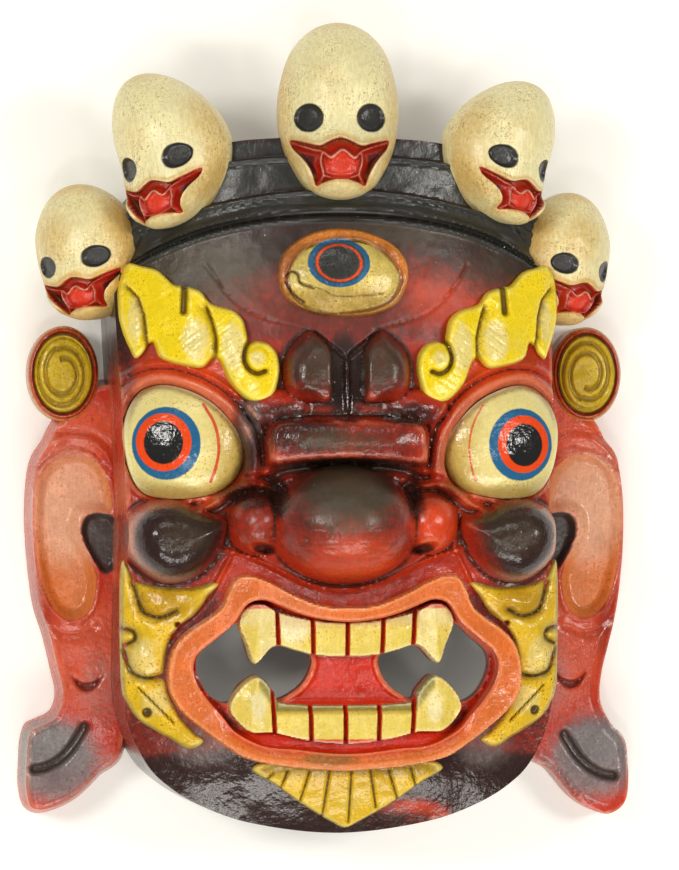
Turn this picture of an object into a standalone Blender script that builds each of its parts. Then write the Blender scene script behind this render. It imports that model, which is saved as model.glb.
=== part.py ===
"""Wrathful mask with a third eye and five skulls, carved from one block of wood and hollow behind.

The mask lies face up. +Y points to its crown, +X to the right of someone who looks at it, and +Z
out of its face. The flat rim round the hollow lies in the plane Z = 0, and the origin is the middle
of that plane.
"""
import math

import bmesh
import bpy
import numpy as np
from mathutils import Matrix, Vector
from mathutils.geometry import delaunay_2d_cdt

# Driving sizes, in metres
MASK_HEIGHT = 0.352         # front edge of the chin to the top of the middle skull
MASK_WIDTH = 0.272          # ear to ear
MASK_DEPTH = 0.122          # back rim to nose tip
WALL = 0.011                # wood between the carving and the hollow
RIM_WIDTH = 0.012           # flat rim round the hollow
EAR_THICKNESS = 0.020
DISC_THICKNESS = 0.026      # ear ornaments, measured from the back plane
SIDE_FLARE = 0.003          # how much wider the sides are at the back plane
MOUTH_FLOOR = 0.006         # how far the mouth is sunk below the face
TOOTH_HEIGHT = 0.007
BROW_HEIGHT = 0.007
BEARD_HEIGHT = 0.003

# Mesh sizes, in metres
POINT_SPACING = 0.0026      # between the points of a carved surface
EDGE_STEP = 0.0009          # from a carved edge to the rows of points on both sides of it
HOLLOW_SPACING = 0.009      # between the points of the hollow
CARVED_TRIANGLES = 7700     # the outside is thinned to about this many

# The carving is drawn in millimetres on a mask of this height, width and depth
DRAWN_HEIGHT = 352.0
DRAWN_WIDTH = 272.0
DRAWN_DEPTH = 122.0
SCALE_X = MASK_WIDTH / DRAWN_WIDTH
SCALE_Y = MASK_HEIGHT / DRAWN_HEIGHT
SCALE_Z = MASK_DEPTH / DRAWN_DEPTH

# The features stand a little to one side of each other, as carving by eye leaves them
BROW_CENTRE = 1.6
EYE_CENTRE = 0.5
NOSE_CENTRE = -0.6
MOUTH_CENTRE = 1.6
CHIN_CENTRE = 2.5

# Right half of the head, from the top of the crown to the chin
HEAD_HALF = [(0, 126), (25, 125.3), (46, 123.5), (61, 118), (75, 109), (87, 98), (93.5, 87), (96.5, 73),
             (96, 50), (93.5, 0), (92, -40), (93, -75), (93.5, -114), (90.5, -131), (83, -146), (74, -155),
             (61, -163), (43, -170), (20, -174.5), (0, -176)]
HALF_FACE_WIDTH = 95.0

# Height of the face over the rim, down its middle and down its edge
MIDDLE_PROFILE = [(130, 76), (100, 80), (85, 84), (60, 87), (35, 91), (10, 95), (-15, 95), (-50, 92),
                  (-75, 90), (-100, 87), (-125, 86), (-145, 84), (-160, 78), (-180, 66)]
EDGE_PROFILE = [(130, 44), (100, 46), (70, 53), (40, 58), (10, 65), (-10, 68), (-60, 71), (-100, 71),
                (-140, 70), (-180, 64)]
DOME_POWER = 2.3

# Crown: three bands that step back towards the top, over a bead that edges the forehead
BEAD_HEIGHT = 4.0
BEAD_RADIUS = 3.0
BAND_LEVELS = (81.0, 73.0, 66.0)
CROWN_EDGE_LEVEL = 44.0

THIRD_EYE_CENTRE = (0.3, 66.2)
THIRD_EYE_RADII = (28.4, 19.1)
THIRD_BALL_CENTRE = (0.0, 64.6)
THIRD_BALL_RADII = (23.9, 15.7)

# Right eye opening, brow, cheek, lips and beard, each drawn from its own centre line
EYE_HALF = [(94.0, -3), (91.8, 8), (85.5, 16), (75.5, 17.8), (63.5, 14), (54, 7.5), (46.5, -2), (43.2, -12),
            (44, -20), (50, -26.5), (61.5, -30), (74.5, -31), (85.5, -28.5), (91.5, -19)]
BROW_HALF = [(92.5, 70.5), (86, 69.5), (79.5, 67.3), (73.5, 61.5), (69.5, 60.7), (62.5, 58.4), (57.8, 53),
             (49, 50), (44.5, 45.6), (42.2, 37), (38.5, 36.8), (34, 35.5), (30.6, 31.6), (29.4, 26),
             (30, 20), (32, 14), (36, 11), (41, 10.3), (45.8, 13.1), (51, 19.2), (56, 29), (62, 25.3),
             (69, 25.9), (76, 27.8), (80, 30.5), (82.5, 36.4), (86, 32), (89.5, 29.5), (92, 34), (95, 42),
             (96.5, 50), (96.3, 62)]
BROW_CURL = (38.6, 28.5)
BROW_CURL_RADIUS = 9.5
LIP_OUTER_HALF = [(0, -76.8), (12, -75.7), (24, -71), (34, -65.8), (42.5, -63), (48.5, -64.5), (52, -70),
                  (54.5, -76.5), (60, -81.5), (68, -87), (74, -93.5), (77, -103), (76.5, -113), (71.5, -122),
                  (61, -131), (52, -137.5), (45, -142), (35, -144.8), (20, -147), (0, -148.2)]
LIP_INNER_HALF = [(0, -83.5), (12, -82.3), (22, -79.6), (30, -76.3), (37, -74), (43.5, -76), (49, -84),
                  (57, -91), (64, -97), (66, -103), (64.5, -110), (60, -117), (54, -124), (48, -131),
                  (36, -137), (22, -138.5), (10, -140), (0, -140.5)]
MOUTH_HOLE_HALF = [(46.5, -84.5), (55, -91), (62, -97), (64, -102.5), (62.5, -109), (58.7, -115.2),
                   (54, -118.5), (49.5, -118.5), (45.5, -111.5), (38, -107.3), (31.6, -113), (28.8, -117.5),
                   (20, -112.5), (15.5, -106), (14.8, -99), (22, -95.8), (31, -94.6), (39.5, -101.7),
                   (43.5, -93)]
UPPER_FANG_HALF = [(30, -79), (36, -75.5), (43, -76.5), (46.5, -84), (43.5, -93), (39.5, -101.7), (32, -94.5)]
LOWER_FANG_HALF = [(31, -119), (31.6, -113), (38, -107.3), (45.5, -111.5), (50, -120), (47, -126.5),
                   (41, -131), (33, -131)]
FRONT_TEETH = [(6.6, -92, 5.8, 7.6), (20.2, -87.2, 5.8, 7.6), (6.6, -130.5, 5.6, 6.6), (20.6, -126.5, 5.6, 6.6)]
SIDE_BEARD_HALF = [(95, -60), (89, -65.5), (80, -68.5), (66, -69), (54, -66.5), (56, -80), (66, -95),
                   (66, -115), (56, -132), (60, -136), (66, -138.5), (74, -134.5), (86.5, -127), (92, -120),
                   (95, -108)]
CHIN_BEARD_HALF = [(0, -144), (30, -143), (41.5, -147), (31.5, -154), (22, -161), (13.5, -166.5), (6, -171),
                   (0, -173.6)]

# Right ear with its lobe, and the ornament above it
EAR_OUTLINE = [(120, 4), (125.5, -5.8), (130.5, -14), (132.6, -25), (133.2, -41), (132, -60), (129.5, -79),
               (125.2, -93), (121.4, -109), (121, -120.5), (125, -129), (131.6, -136), (135.3, -144),
               (136, -157), (134, -168), (128, -172.3), (119, -171), (110, -166.5), (100, -156),
               (84, -138), (80, -90), (80, -20), (84, 18), (104, 20)]
CONCHA_OUTLINE = [(129, -35), (127, -24), (121.5, -16.5), (114, -13), (106, -13.5), (100, -18), (97, -28),
                  (95, -45), (96, -62), (103, -72), (106, -80), (112, -85), (118, -84), (123, -78),
                  (126.5, -68), (128.8, -54)]
LOBE_SLOT = [(130, -154), (126, -146), (118, -140), (109, -135.5)]
LOBE_CRESCENT = [(112, -108), (106.5, -112), (100, -111)]
DISC_CENTRE = (116.8, 23.6)
DISC_RADII = (15.6, 21.0)
DISC_RINGS = (0.30, 0.52, 0.76)

# Skulls: middle, height of it over the rim, half width, half height, lean and turn in degrees
SKULLS = [("middle", (0.8, 136.5), 60.0, 25.6, 39.4, 0.0, 0.0),
          ("upper", (71.3, 120.3), 56.0, 24.2, 33.0, -6.0, 32.0),
          ("lower", (104.5, 75.8), 34.0, 24.0, 30.0, -4.0, 30.0)]
SKULL_SOCKETS = (0.27, 0.14, 0.24)      # sideways, upwards and width, as shares of the skull
SKULL_MOUTH = (-0.48, 0.46, 0.24)       # middle, half width and half height, as shares of the skull

WOOD_COLOUR = (0.58, 0.045, 0.02, 1.0)


def clear_scene():
    """Remove what the file holds."""
    for thing in list(bpy.data.objects):
        bpy.data.objects.remove(thing, do_unlink=True)


# Curves and distances in the plane of the carving


def both_halves(half, centre=0.0):
    """Whole outline from its right half, which starts and ends on the centre line."""
    right = [(centre + x, y) for x, y in half]
    left = [(centre - x, y) for x, y in reversed(half) if x > 0]
    return right + left


def smooth_outline(points, spacing):
    """Closed curve through the points, sampled about every spacing."""
    points = np.array(points, float)
    before = np.roll(points, 1, axis=0)
    after = np.roll(points, -1, axis=0)
    beyond = np.roll(points, -2, axis=0)
    samples = []
    for p0, p1, p2, p3 in zip(before, points, after, beyond):
        steps = max(1, round(float(np.linalg.norm(p2 - p1)) / spacing))
        for step in range(steps):
            t = step / steps
            samples.append(0.5 * (2 * p1 + (p2 - p0) * t + (2 * p0 - 5 * p1 + 4 * p2 - p3) * t ** 2
                                  + (3 * p1 - p0 - 3 * p2 + p3) * t ** 3))
    return np.array(samples)


def nearest_on_segments(starts, ends, x, y):
    """Distance from each point to a run of segments."""
    best = np.full(np.shape(x), np.inf)
    for (ax, ay), (bx, by) in zip(starts, ends):
        dx = bx - ax
        dy = by - ay
        along = np.clip(((x - ax) * dx + (y - ay) * dy) / (dx * dx + dy * dy), 0.0, 1.0)
        best = np.minimum(best, np.hypot(x - ax - along * dx, y - ay - along * dy))
    return best


def inside_distance(outline, x, y):
    """Distance from each point to a closed outline, positive inside it."""
    ends = np.roll(outline, -1, axis=0)
    inside = np.zeros(np.shape(x), bool)
    for (ax, ay), (bx, by) in zip(outline, ends):
        crosses = (ay > y) != (by > y)
        slope = (bx - ax) / (by - ay) if by != ay else 0.0
        inside ^= crosses & (x < ax + (y - ay) * slope)
    distance = nearest_on_segments(outline, ends, x, y)
    return np.where(inside, distance, -distance)


def line_distance(points, x, y):
    """Distance from each point to an open line."""
    points = np.array(points, float)
    return nearest_on_segments(points[:-1], points[1:], x, y)


def profile_height(profile, y):
    """Height of a smooth profile at each y, from a few (y, height) pairs."""
    points = np.array(profile, float)
    before = np.vstack([points[:1], points[:-1]])
    after = np.vstack([points[1:], points[-1:]])
    slopes = (after[:, 1] - before[:, 1]) / (after[:, 0] - before[:, 0])
    order = np.argsort(points[:, 0])
    knots = points[order, 0]
    heights = points[order, 1]
    slopes = slopes[order]
    cell = np.clip(np.searchsorted(knots, y) - 1, 0, len(knots) - 2)
    width = knots[cell + 1] - knots[cell]
    t = np.clip((y - knots[cell]) / width, 0.0, 1.0)
    rise = heights[cell + 1] - heights[cell]
    start = slopes[cell] * width
    end = slopes[cell + 1] * width
    return heights[cell] + t * (start + t * (3 * rise - 2 * start - end + t * (start + end - 2 * rise)))


def smooth_step(value, start, end):
    """0 before start, 1 after end, and an even curve between."""
    t = np.clip((value - start) / (end - start), 0.0, 1.0)
    return t * t * (3.0 - 2.0 * t)


def soft_max(a, b, reach):
    """The higher of two surfaces, with a fillet of about this reach where they meet."""
    overlap = np.maximum(reach - np.abs(a - b), 0.0) / reach
    return np.maximum(a, b) + overlap * overlap * reach / 4.0


def oval(x, y, centre, radii):
    """0 at the centre of an oval and 1 on it."""
    return np.hypot((x - centre[0]) / radii[0], (y - centre[1]) / radii[1])


def dome(x, y, centre, radii, base, top):
    """Half an egg standing on the height base, and far below it outside."""
    reach = oval(x, y, centre, radii)
    return np.where(reach < 1.0, base + (top - base) * np.sqrt(np.maximum(1.0 - reach * reach, 0.0)), -999.0)


def plate(distance, height, edge, rounding=1.5):
    """Rise of a raised plate: a steep edge and a softly rounded top."""
    return height * smooth_step(distance, 0.0, edge) + rounding * smooth_step(distance, 0.0, edge * 4.0)


def groove(distance, width, depth):
    """Rounded cut along a line."""
    return depth * np.clip(1.0 - (distance / (width / 2.0)) ** 2, 0.0, 1.0)


# The face, in drawn millimetres


def crown_lines(x):
    """Heights up the mask of the bead and of the two steps between the bands."""
    bead = 92.5 - 0.0018 * x ** 2 - 1.2e-7 * x ** 4
    first_step = 103.0 - 0.0020 * x ** 2
    second_step = 118.0 - 0.0012 * x ** 2
    return bead, first_step, second_step


def crown_relief(x, y, z):
    """Bands of the crown above the bead."""
    bead, first_step, second_step = crown_lines(x)
    level = BAND_LEVELS[0] + (BAND_LEVELS[1] - BAND_LEVELS[0]) * smooth_step(y, first_step - 1, first_step + 1)
    level = level + (BAND_LEVELS[2] - BAND_LEVELS[1]) * smooth_step(y, second_step - 1, second_step + 1)
    bands = level - (level - CROWN_EDGE_LEVEL) * np.minimum(x / HALF_FACE_WIDTH, 1.0) ** DOME_POWER
    z = np.where(y > bead, bands, z)
    return z + BEAD_HEIGHT * np.exp(-((y - bead) / BEAD_RADIUS) ** 2)


def third_eye_relief(x, y, z):
    """Raised lid round a low ball."""
    lid = inside_distance(oval_outline(THIRD_EYE_CENTRE, THIRD_EYE_RADII), x, y)
    ball = inside_distance(oval_outline(THIRD_BALL_CENTRE, THIRD_BALL_RADII), x, y)
    z = z + plate(lid, 4.0, 2.0, 1.0)
    swell = np.sqrt(np.clip(1.0 - oval(x, y, THIRD_BALL_CENTRE, THIRD_BALL_RADII) ** 2, 0.0, 1.0))
    return z + np.where(ball > 0, 5.5 * swell - 2.0 * smooth_step(ball, 0.0, 1.0), 0.0)


def oval_outline(centre, radii, count=72):
    """Points round an oval."""
    angles = np.linspace(0.0, 2.0 * math.pi, count, endpoint=False)
    return np.column_stack([centre[0] + radii[0] * np.cos(angles), centre[1] + radii[1] * np.sin(angles)])


def frown_relief(x, y, z):
    """Two lumps with a crease between them, over the wrinkle that crosses the bridge of the nose."""
    z = soft_max(z, dome(x, y, (15.5, 26.0), (11.5, 17.0), 90.0, 106.0), 3.0)
    z = soft_max(z, dome(x, y, (26.0, 11.0), (15.0, 11.0), 90.0, 102.0), 3.0)
    z = z - groove(line_distance([(0, 31), (15, 41.5)], x, y), 6.0, 3.0)
    bar_middle = -6.5 - 0.0022 * x ** 2
    swell = 1.0 - ((y - bar_middle) / 8.6) ** 2 - (x / 38.0) ** 4
    bar = np.where(swell > 0.0, 96.0 + 12.0 * np.sqrt(np.maximum(swell, 0.0)), 0.0)
    z = soft_max(z, bar, 2.0)
    return z - groove(np.hypot(np.maximum(x - 24.0, 0.0), y + 18.5), 7.0, 4.0)


def nose_relief(x, y, z):
    """Bulb, lower flange, wings and nostrils."""
    z = soft_max(z, dome(x, y, (0.0, -49.0), (33.0, 18.5), 84.0, 106.0), 4.0)
    z = soft_max(z, dome(x, y, (38.5, -39.0), (11.5, 13.5), 84.0, 102.0), 3.0)
    z = soft_max(z, dome(x, y, (0.0, -40.5), (28.5, 24.0), 92.0, DRAWN_DEPTH), 2.0)
    return z - groove(10.0 * oval(x, y, (34.5, -53.0), (3.6, 2.8)) - 10.0, 20.0, 6.0)


def eye_relief(x, y, z):
    """Bulging ball in its opening, with the fold of the upper lid round it."""
    opening = inside_distance(smooth_outline(EYE_HALF, 3.0), x, y)
    upper = smooth_step(y, -26.0, 2.0)
    z = z + 5.0 * upper * np.exp(-((opening + 4.5) / 3.2) ** 2)
    swell = np.sqrt(np.clip(1.0 - oval(x, y, (69.5, -7.0), (27.5, 25.5)) ** 2, 0.0, 1.0))
    ball = 80.0 - 0.17 * (x - 43.0) + 16.0 * swell
    inside = smooth_step(opening, -0.6, 0.6)
    return z * (1.0 - inside) + ball * inside


def cheek_relief(x, y, z):
    """Round ball of the cheek."""
    return soft_max(z, dome(x, y, (71.5, -49.5), (22.5, 17.8), 68.0, 100.0), 3.0)


def brow_relief(x, y, z):
    """Leafy brow with a curl at its inner end."""
    inside = inside_distance(smooth_outline(BROW_HALF, 2.0), x, y)
    z = z + plate(inside, BROW_HEIGHT / SCALE_Z, 1.6)
    for line in ([(91, 60), (86.5, 56), (84.3, 48), (84, 37)], [(70, 61), (69.7, 47)],
                 [(59.5, 50), (55.5, 43), (54.5, 34), (56, 28)]):
        z = z - groove(line_distance(line, x, y), 3.0, 2.5) * (inside > 0)
    dx = x - BROW_CURL[0]
    dy = y - BROW_CURL[1]
    reach = np.hypot(dx, dy)
    turn = (np.arctan2(dy, dx) / (2.0 * math.pi) + reach / BROW_CURL_RADIUS) % 1.0
    spiral = np.minimum(turn, 1.0 - turn) * BROW_CURL_RADIUS
    return z - groove(spiral, 3.0, 2.0) * (reach < BROW_CURL_RADIUS) * (inside > 0)


def beard_relief(x, y, z):
    """Leafy beard beside the mouth."""
    inside = inside_distance(smooth_outline(SIDE_BEARD_HALF, 3.0), x, y)
    z = z + plate(inside, BEARD_HEIGHT / SCALE_Z, 1.6)
    for line in ([(90, -69), (87, -79), (79, -81.5), (72.5, -79)], [(94, -96), (91, -105), (84, -108), (77, -107)]):
        z = z - groove(line_distance(line, x, y), 3.0, 2.0)
    return z


def chin_relief(x, y, z):
    """Pleated beard on the chin."""
    inside = inside_distance(smooth_outline(both_halves(CHIN_BEARD_HALF), 3.0), x, y)
    z = z + plate(inside, BEARD_HEIGHT / SCALE_Z, 1.6)
    for across in (0.0, 9.5, 18.5, 27.5):
        line = [(across, -150), (across * 1.15, -150 - 0.72 * (30.0 - across))]
        z = z - groove(line_distance(line, x, y), 2.6, 1.8)
    return z


def mouth_relief(x, y, z):
    """Lips round the sunk mouth, with its teeth."""
    outer = inside_distance(smooth_outline(both_halves(LIP_OUTER_HALF), 3.0), x, y)
    inner = inside_distance(smooth_outline(both_halves(LIP_INNER_HALF), 3.0), x, y)
    sunk = z - MOUTH_FLOOR / SCALE_Z
    z = z + plate(outer, 6.0, 2.0, 2.0)
    inside = smooth_step(inner, -1.0, 1.0)
    z = z * (1.0 - inside) + sunk * inside
    teeth = np.maximum(inside_distance(smooth_outline(UPPER_FANG_HALF, 2.0), x, y),
                       inside_distance(smooth_outline(LOWER_FANG_HALF, 2.0), x, y))
    for centre_x, centre_y, half_width, half_height in FRONT_TEETH:
        edge_x = half_width - np.abs(x - centre_x)
        edge_y = half_height - np.abs(y - centre_y)
        teeth = np.maximum(teeth, np.minimum(edge_x, edge_y))
    return z + plate(teeth, TOOTH_HEIGHT / SCALE_Z, 1.5, 1.0) * inside


def head_relief(x, y):
    """Height of the carved head over its rim."""
    across = np.minimum(np.abs(x) / HALF_FACE_WIDTH, 1.05)
    middle = profile_height(MIDDLE_PROFILE, y)
    edge = profile_height(EDGE_PROFILE, y)
    z = middle - (middle - edge) * across ** DOME_POWER
    z = crown_relief(np.abs(x), y, z)
    z = third_eye_relief(x, y, z)
    z = z - groove(line_distance([(54, 71), (48.5, 61.5), (39.5, 52), (29, 46.5), (17, 43)], np.abs(x), y), 3.0, 1.5)
    z = frown_relief(np.abs(x - BROW_CENTRE), y, z)
    z = eye_relief(np.abs(x - EYE_CENTRE), y, z)
    z = cheek_relief(np.abs(x - EYE_CENTRE), y, z)
    z = nose_relief(np.abs(x - NOSE_CENTRE), y, z)
    z = beard_relief(np.abs(x - EYE_CENTRE), y, z)
    z = chin_relief(np.abs(x - CHIN_CENTRE), y, z)
    z = mouth_relief(np.abs(x - MOUTH_CENTRE), y, z)
    return brow_relief(np.abs(x - BROW_CENTRE), y, z)


def ear_relief(x, y):
    """Height of an ear over the rim."""
    thickness = EAR_THICKNESS / SCALE_Z
    edge = inside_distance(smooth_outline(EAR_OUTLINE, 3.0), x, y)
    z = thickness - 2.0 + 3.0 * smooth_step(edge, 0.0, 5.0)
    concha = inside_distance(smooth_outline(CONCHA_OUTLINE, 3.0), x, y)
    z = z - 5.0 * smooth_step(concha, 0.0, 4.0)
    z = z - groove(line_distance([(121, -87), (113, -90.5), (103, -88)], x, y), 3.5, 2.5)
    z = z - groove(line_distance(LOBE_CRESCENT, x, y), 6.5, 4.0)
    return z - groove(line_distance(LOBE_SLOT, x, y), 7.5, 5.0)


# Solids


def new_object(name, mesh_data, collection):
    """Object in a collection from a bmesh, which is freed."""
    mesh = bpy.data.meshes.new(name)
    mesh_data.to_mesh(mesh)
    mesh_data.free()
    result = bpy.data.objects.new(name, mesh)
    collection.objects.link(result)
    return result


def outline_normals(outline):
    """Outward unit normals along a closed outline that runs clockwise."""
    tangent = np.roll(outline, -1, axis=0) - np.roll(outline, 1, axis=0)
    normal = np.column_stack([-tangent[:, 1], tangent[:, 0]])
    return normal / np.linalg.norm(normal, axis=1)[:, None]


def carved_points(outline, spacing, edges=()):
    """Points that fill an outline: rows half a step apart, and a row on each side of every carved edge."""
    low = outline.min(axis=0)
    high = outline.max(axis=0)
    points = []
    for row, y in enumerate(np.arange(low[1], high[1], spacing * 0.87)):
        start = low[0] + (spacing / 2.0 if row % 2 else 0.0)
        points += [(x, y) for x in np.arange(start, high[0], spacing)]
    points = np.array(points)
    step = EDGE_STEP / SCALE_Y
    for edge in edges:
        away = np.abs(inside_distance(edge, points[:, 0], points[:, 1]))
        rows = [edge + outline_normals(edge) * offset for offset in (-step, step)]
        points = np.vstack([points[away > step + spacing * 0.4]] + rows)
    inside = inside_distance(outline, points[:, 0], points[:, 1])
    return points[inside > spacing * 0.6]


def head_edges(spacing):
    """Outlines of what stands out of the face with a steep edge."""
    edges = [smooth_outline(both_halves(LIP_OUTER_HALF, MOUTH_CENTRE), spacing),
             smooth_outline(both_halves(LIP_INNER_HALF, MOUTH_CENTRE), spacing),
             smooth_outline(both_halves(CHIN_BEARD_HALF, CHIN_CENTRE), spacing),
             oval_outline(THIRD_EYE_CENTRE, THIRD_EYE_RADII, 56)]
    for half, centre in ((BROW_HALF, BROW_CENTRE), (EYE_HALF, EYE_CENTRE), (SIDE_BEARD_HALF, EYE_CENTRE),
                         (UPPER_FANG_HALF, MOUTH_CENTRE), (LOWER_FANG_HALF, MOUTH_CENTRE)):
        for side in (-1.0, 1.0):
            edges.append(smooth_outline(half, spacing) * (side, 1.0) + (centre, 0.0))
    return edges


def carved_solid(name, outline, relief, collection, edges=(), mirrored=False):
    """Solid with a carved front, sides that flare towards the back plane, and a flat back."""
    filling = carved_points(outline, POINT_SPACING / SCALE_Y, edges)
    flat = np.vstack([outline, filling])
    count = len(outline)
    ring = list(range(count))
    vertices, _, faces, _, _, _ = delaunay_2d_cdt([Vector(point) for point in flat], [], [ring], 1, 1e-6)
    flat = np.array([tuple(vertex) for vertex in vertices])
    heights = relief(flat[:, 0], flat[:, 1])
    back = outline + outline_normals(outline) * (SIDE_FLARE / SCALE_Y)
    side = -1.0 if mirrored else 1.0

    mesh_data = bmesh.new()
    front = [mesh_data.verts.new((side * x * SCALE_X, y * SCALE_Y, z * SCALE_Z))
             for (x, y), z in zip(flat, heights)]
    rear = [mesh_data.verts.new((side * x * SCALE_X, y * SCALE_Y, 0.0)) for x, y in back]
    for face in faces:
        mesh_data.faces.new([front[index] for index in face])
    for index in range(count):
        following = (index + 1) % count
        mesh_data.faces.new([front[index], front[following], rear[following], rear[index]])
    mesh_data.faces.new(rear)
    bmesh.ops.recalc_face_normals(mesh_data, faces=mesh_data.faces)
    return new_object(name, mesh_data, collection)


def ear_disc(name, side, collection):
    """Oval ornament above an ear: a low dome with turned rings."""
    mesh_data = bmesh.new()
    rings = 18
    sectors = 40
    top = DISC_THICKNESS
    middle = mesh_data.verts.new((0.0, 0.0, top))
    rows = []
    for ring in range(1, rings + 1):
        reach = ring / rings
        height = top - 0.20 * top * reach ** 4
        for cut in DISC_RINGS:
            height -= groove(abs(reach - cut), 0.12, 0.0018)
        row = []
        for sector in range(sectors):
            angle = 2.0 * math.pi * sector / sectors
            row.append(mesh_data.verts.new((reach * math.cos(angle), reach * math.sin(angle), float(height))))
        rows.append(row)
    rows.append([mesh_data.verts.new((vertex.co.x, vertex.co.y, 0.0)) for vertex in rows[-1]])
    for sector in range(sectors):
        following = (sector + 1) % sectors
        mesh_data.faces.new([middle, rows[0][sector], rows[0][following]])
        for inner, outer in zip(rows, rows[1:]):
            mesh_data.faces.new([inner[sector], outer[sector], outer[following], inner[following]])
    mesh_data.faces.new(list(reversed(rows[-1])))
    place = Matrix.Translation((side * DISC_CENTRE[0] * SCALE_X, DISC_CENTRE[1] * SCALE_Y, 0.0))
    size = Matrix.Diagonal((DISC_RADII[0] * SCALE_X, DISC_RADII[1] * SCALE_Y, 1.0, 1.0))
    bmesh.ops.transform(mesh_data, matrix=place @ size, verts=mesh_data.verts)
    return new_object(name, mesh_data, collection)


def skull_shape(point):
    """Where a point of a unit ball goes on a skull of unit half width and half height."""
    x, y, z = point
    narrow = 1.0 - 0.22 * smooth_step(-y, 0.25, 1.0)
    x = x * float(narrow)
    if z <= 0.0:
        return Vector((x, y, z * 0.9))
    dent = 0.0
    for side in (-1.0, 1.0):
        reach = math.hypot(x - side * SKULL_SOCKETS[0] * 2.0, y + SKULL_SOCKETS[1]) / SKULL_SOCKETS[2]
        dent += 0.22 * float(smooth_step(1.2 - reach, 0.0, 0.7))
    reach = math.hypot(x / SKULL_MOUTH[1], (y - SKULL_MOUTH[0]) / SKULL_MOUTH[2])
    dent += 0.14 * float(smooth_step(1.15 - reach, 0.0, 0.35))
    dent -= 0.08 * float(smooth_step(0.6 - reach, 0.0, 0.4))
    return Vector((x, y, z - dent))


def skull(name, centre, height, half_width, half_height, lean, turn, collection):
    """Egg of a skull with eye sockets and a sunk mouth."""
    mesh_data = bmesh.new()
    bmesh.ops.create_uvsphere(mesh_data, u_segments=44, v_segments=36, radius=1.0)
    bmesh.ops.rotate(mesh_data, verts=mesh_data.verts, matrix=Matrix.Rotation(math.radians(-90), 3, "X"))
    for vertex in mesh_data.verts:
        vertex.co = skull_shape(vertex.co)
    size = Matrix.Diagonal((half_width * SCALE_X, half_height * SCALE_Y, half_width * SCALE_Z, 1.0))
    pose = Matrix.Rotation(math.radians(lean), 4, "Z") @ Matrix.Rotation(math.radians(turn), 4, "Y")
    place = Matrix.Translation((centre[0] * SCALE_X, centre[1] * SCALE_Y, height * SCALE_Z))
    bmesh.ops.transform(mesh_data, matrix=place @ pose @ size, verts=mesh_data.verts)
    return new_object(name, mesh_data, collection)


def all_skulls(collection):
    """Middle skull, and a pair on each side of it."""
    made = []
    for name, centre, height, half_width, half_height, lean, turn in SKULLS:
        sides = (1.0,) if name == "middle" else (-1.0, 1.0)
        for side in sides:
            place = (side * centre[0], centre[1])
            made.append(skull(name + "_skull", place, height, half_width, half_height,
                              side * lean, side * turn, collection))
    return made


# Hollow and mouth


def hollow_height(x, y):
    """Height of the hollow's ceiling over the rim, in metres: a ball of the wall's radius below the face."""
    reach = np.linspace(-WALL, WALL, 9)
    head = smooth_outline(both_halves(HEAD_HALF), 6.0)
    ceiling = np.full(np.shape(x), np.inf)
    for dx in reach:
        for dy in reach:
            away = math.hypot(dx, dy)
            if away > WALL:
                continue
            drawn_x = (x + dx) / SCALE_X
            drawn_y = (y + dy) / SCALE_Y
            surface = head_relief(drawn_x, drawn_y) * SCALE_Z
            surface = np.where(inside_distance(head, drawn_x, drawn_y) > 0, surface, np.inf)
            ceiling = np.minimum(ceiling, surface - math.sqrt(WALL ** 2 - away ** 2))
    return ceiling


def hollow_cutter(collection):
    """Solid of the air behind the face."""
    outline = smooth_outline(both_halves(HEAD_HALF), HOLLOW_SPACING / SCALE_Y)
    outline = outline - outline_normals(outline) * (RIM_WIDTH / SCALE_Y)
    filling = carved_points(outline, HOLLOW_SPACING / SCALE_Y)
    count = len(outline)
    flat = [Vector(point) for point in np.vstack([outline, filling])]
    vertices, _, faces, _, _, _ = delaunay_2d_cdt(flat, [], [list(range(count))], 1, 1e-6)
    flat = np.array([tuple(vertex) for vertex in vertices]) * (SCALE_X, SCALE_Y)
    heights = hollow_height(flat[:, 0], flat[:, 1])
    mesh_data = bmesh.new()
    top = [mesh_data.verts.new((x, y, z)) for (x, y), z in zip(flat, heights)]
    bottom = [mesh_data.verts.new((x, y, -WALL)) for x, y in flat[:count]]
    for face in faces:
        mesh_data.faces.new([top[index] for index in face])
    for index in range(count):
        following = (index + 1) % count
        mesh_data.faces.new([top[index], top[following], bottom[following], bottom[index]])
    mesh_data.faces.new(bottom)
    bmesh.ops.recalc_face_normals(mesh_data, faces=mesh_data.faces)
    return new_object("hollow", mesh_data, collection)


def mouth_cutter(name, side, collection):
    """Prism through the face in a corner of the mouth, between the teeth and the lips."""
    outline = smooth_outline(MOUTH_HOLE_HALF, 2.5)
    mesh_data = bmesh.new()
    rows = []
    for height in (-0.1, 1.2):
        rows.append([mesh_data.verts.new(((MOUTH_CENTRE + side * x) * SCALE_X, y * SCALE_Y, height * MASK_DEPTH))
                     for x, y in outline])
    mesh_data.faces.new(rows[0])
    mesh_data.faces.new(rows[1])
    for index in range(len(outline)):
        following = (index + 1) % len(outline)
        mesh_data.faces.new([rows[0][index], rows[0][following], rows[1][following], rows[1][index]])
    bmesh.ops.recalc_face_normals(mesh_data, faces=mesh_data.faces)
    return new_object(name, mesh_data, collection)


def apply_modifiers(target):
    """Give the object the mesh that its modifiers make."""
    graph = bpy.context.evaluated_depsgraph_get()
    mesh = bpy.data.meshes.new_from_object(target.evaluated_get(graph))
    target.modifiers.clear()
    target.data = mesh


def add_boolean(target, other, operation):
    """Join or cut the target with another solid."""
    modifier = target.modifiers.new(operation.lower() + "_" + other.name, "BOOLEAN")
    modifier.operation = operation
    modifier.solver = "EXACT"
    modifier.object = other


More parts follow.
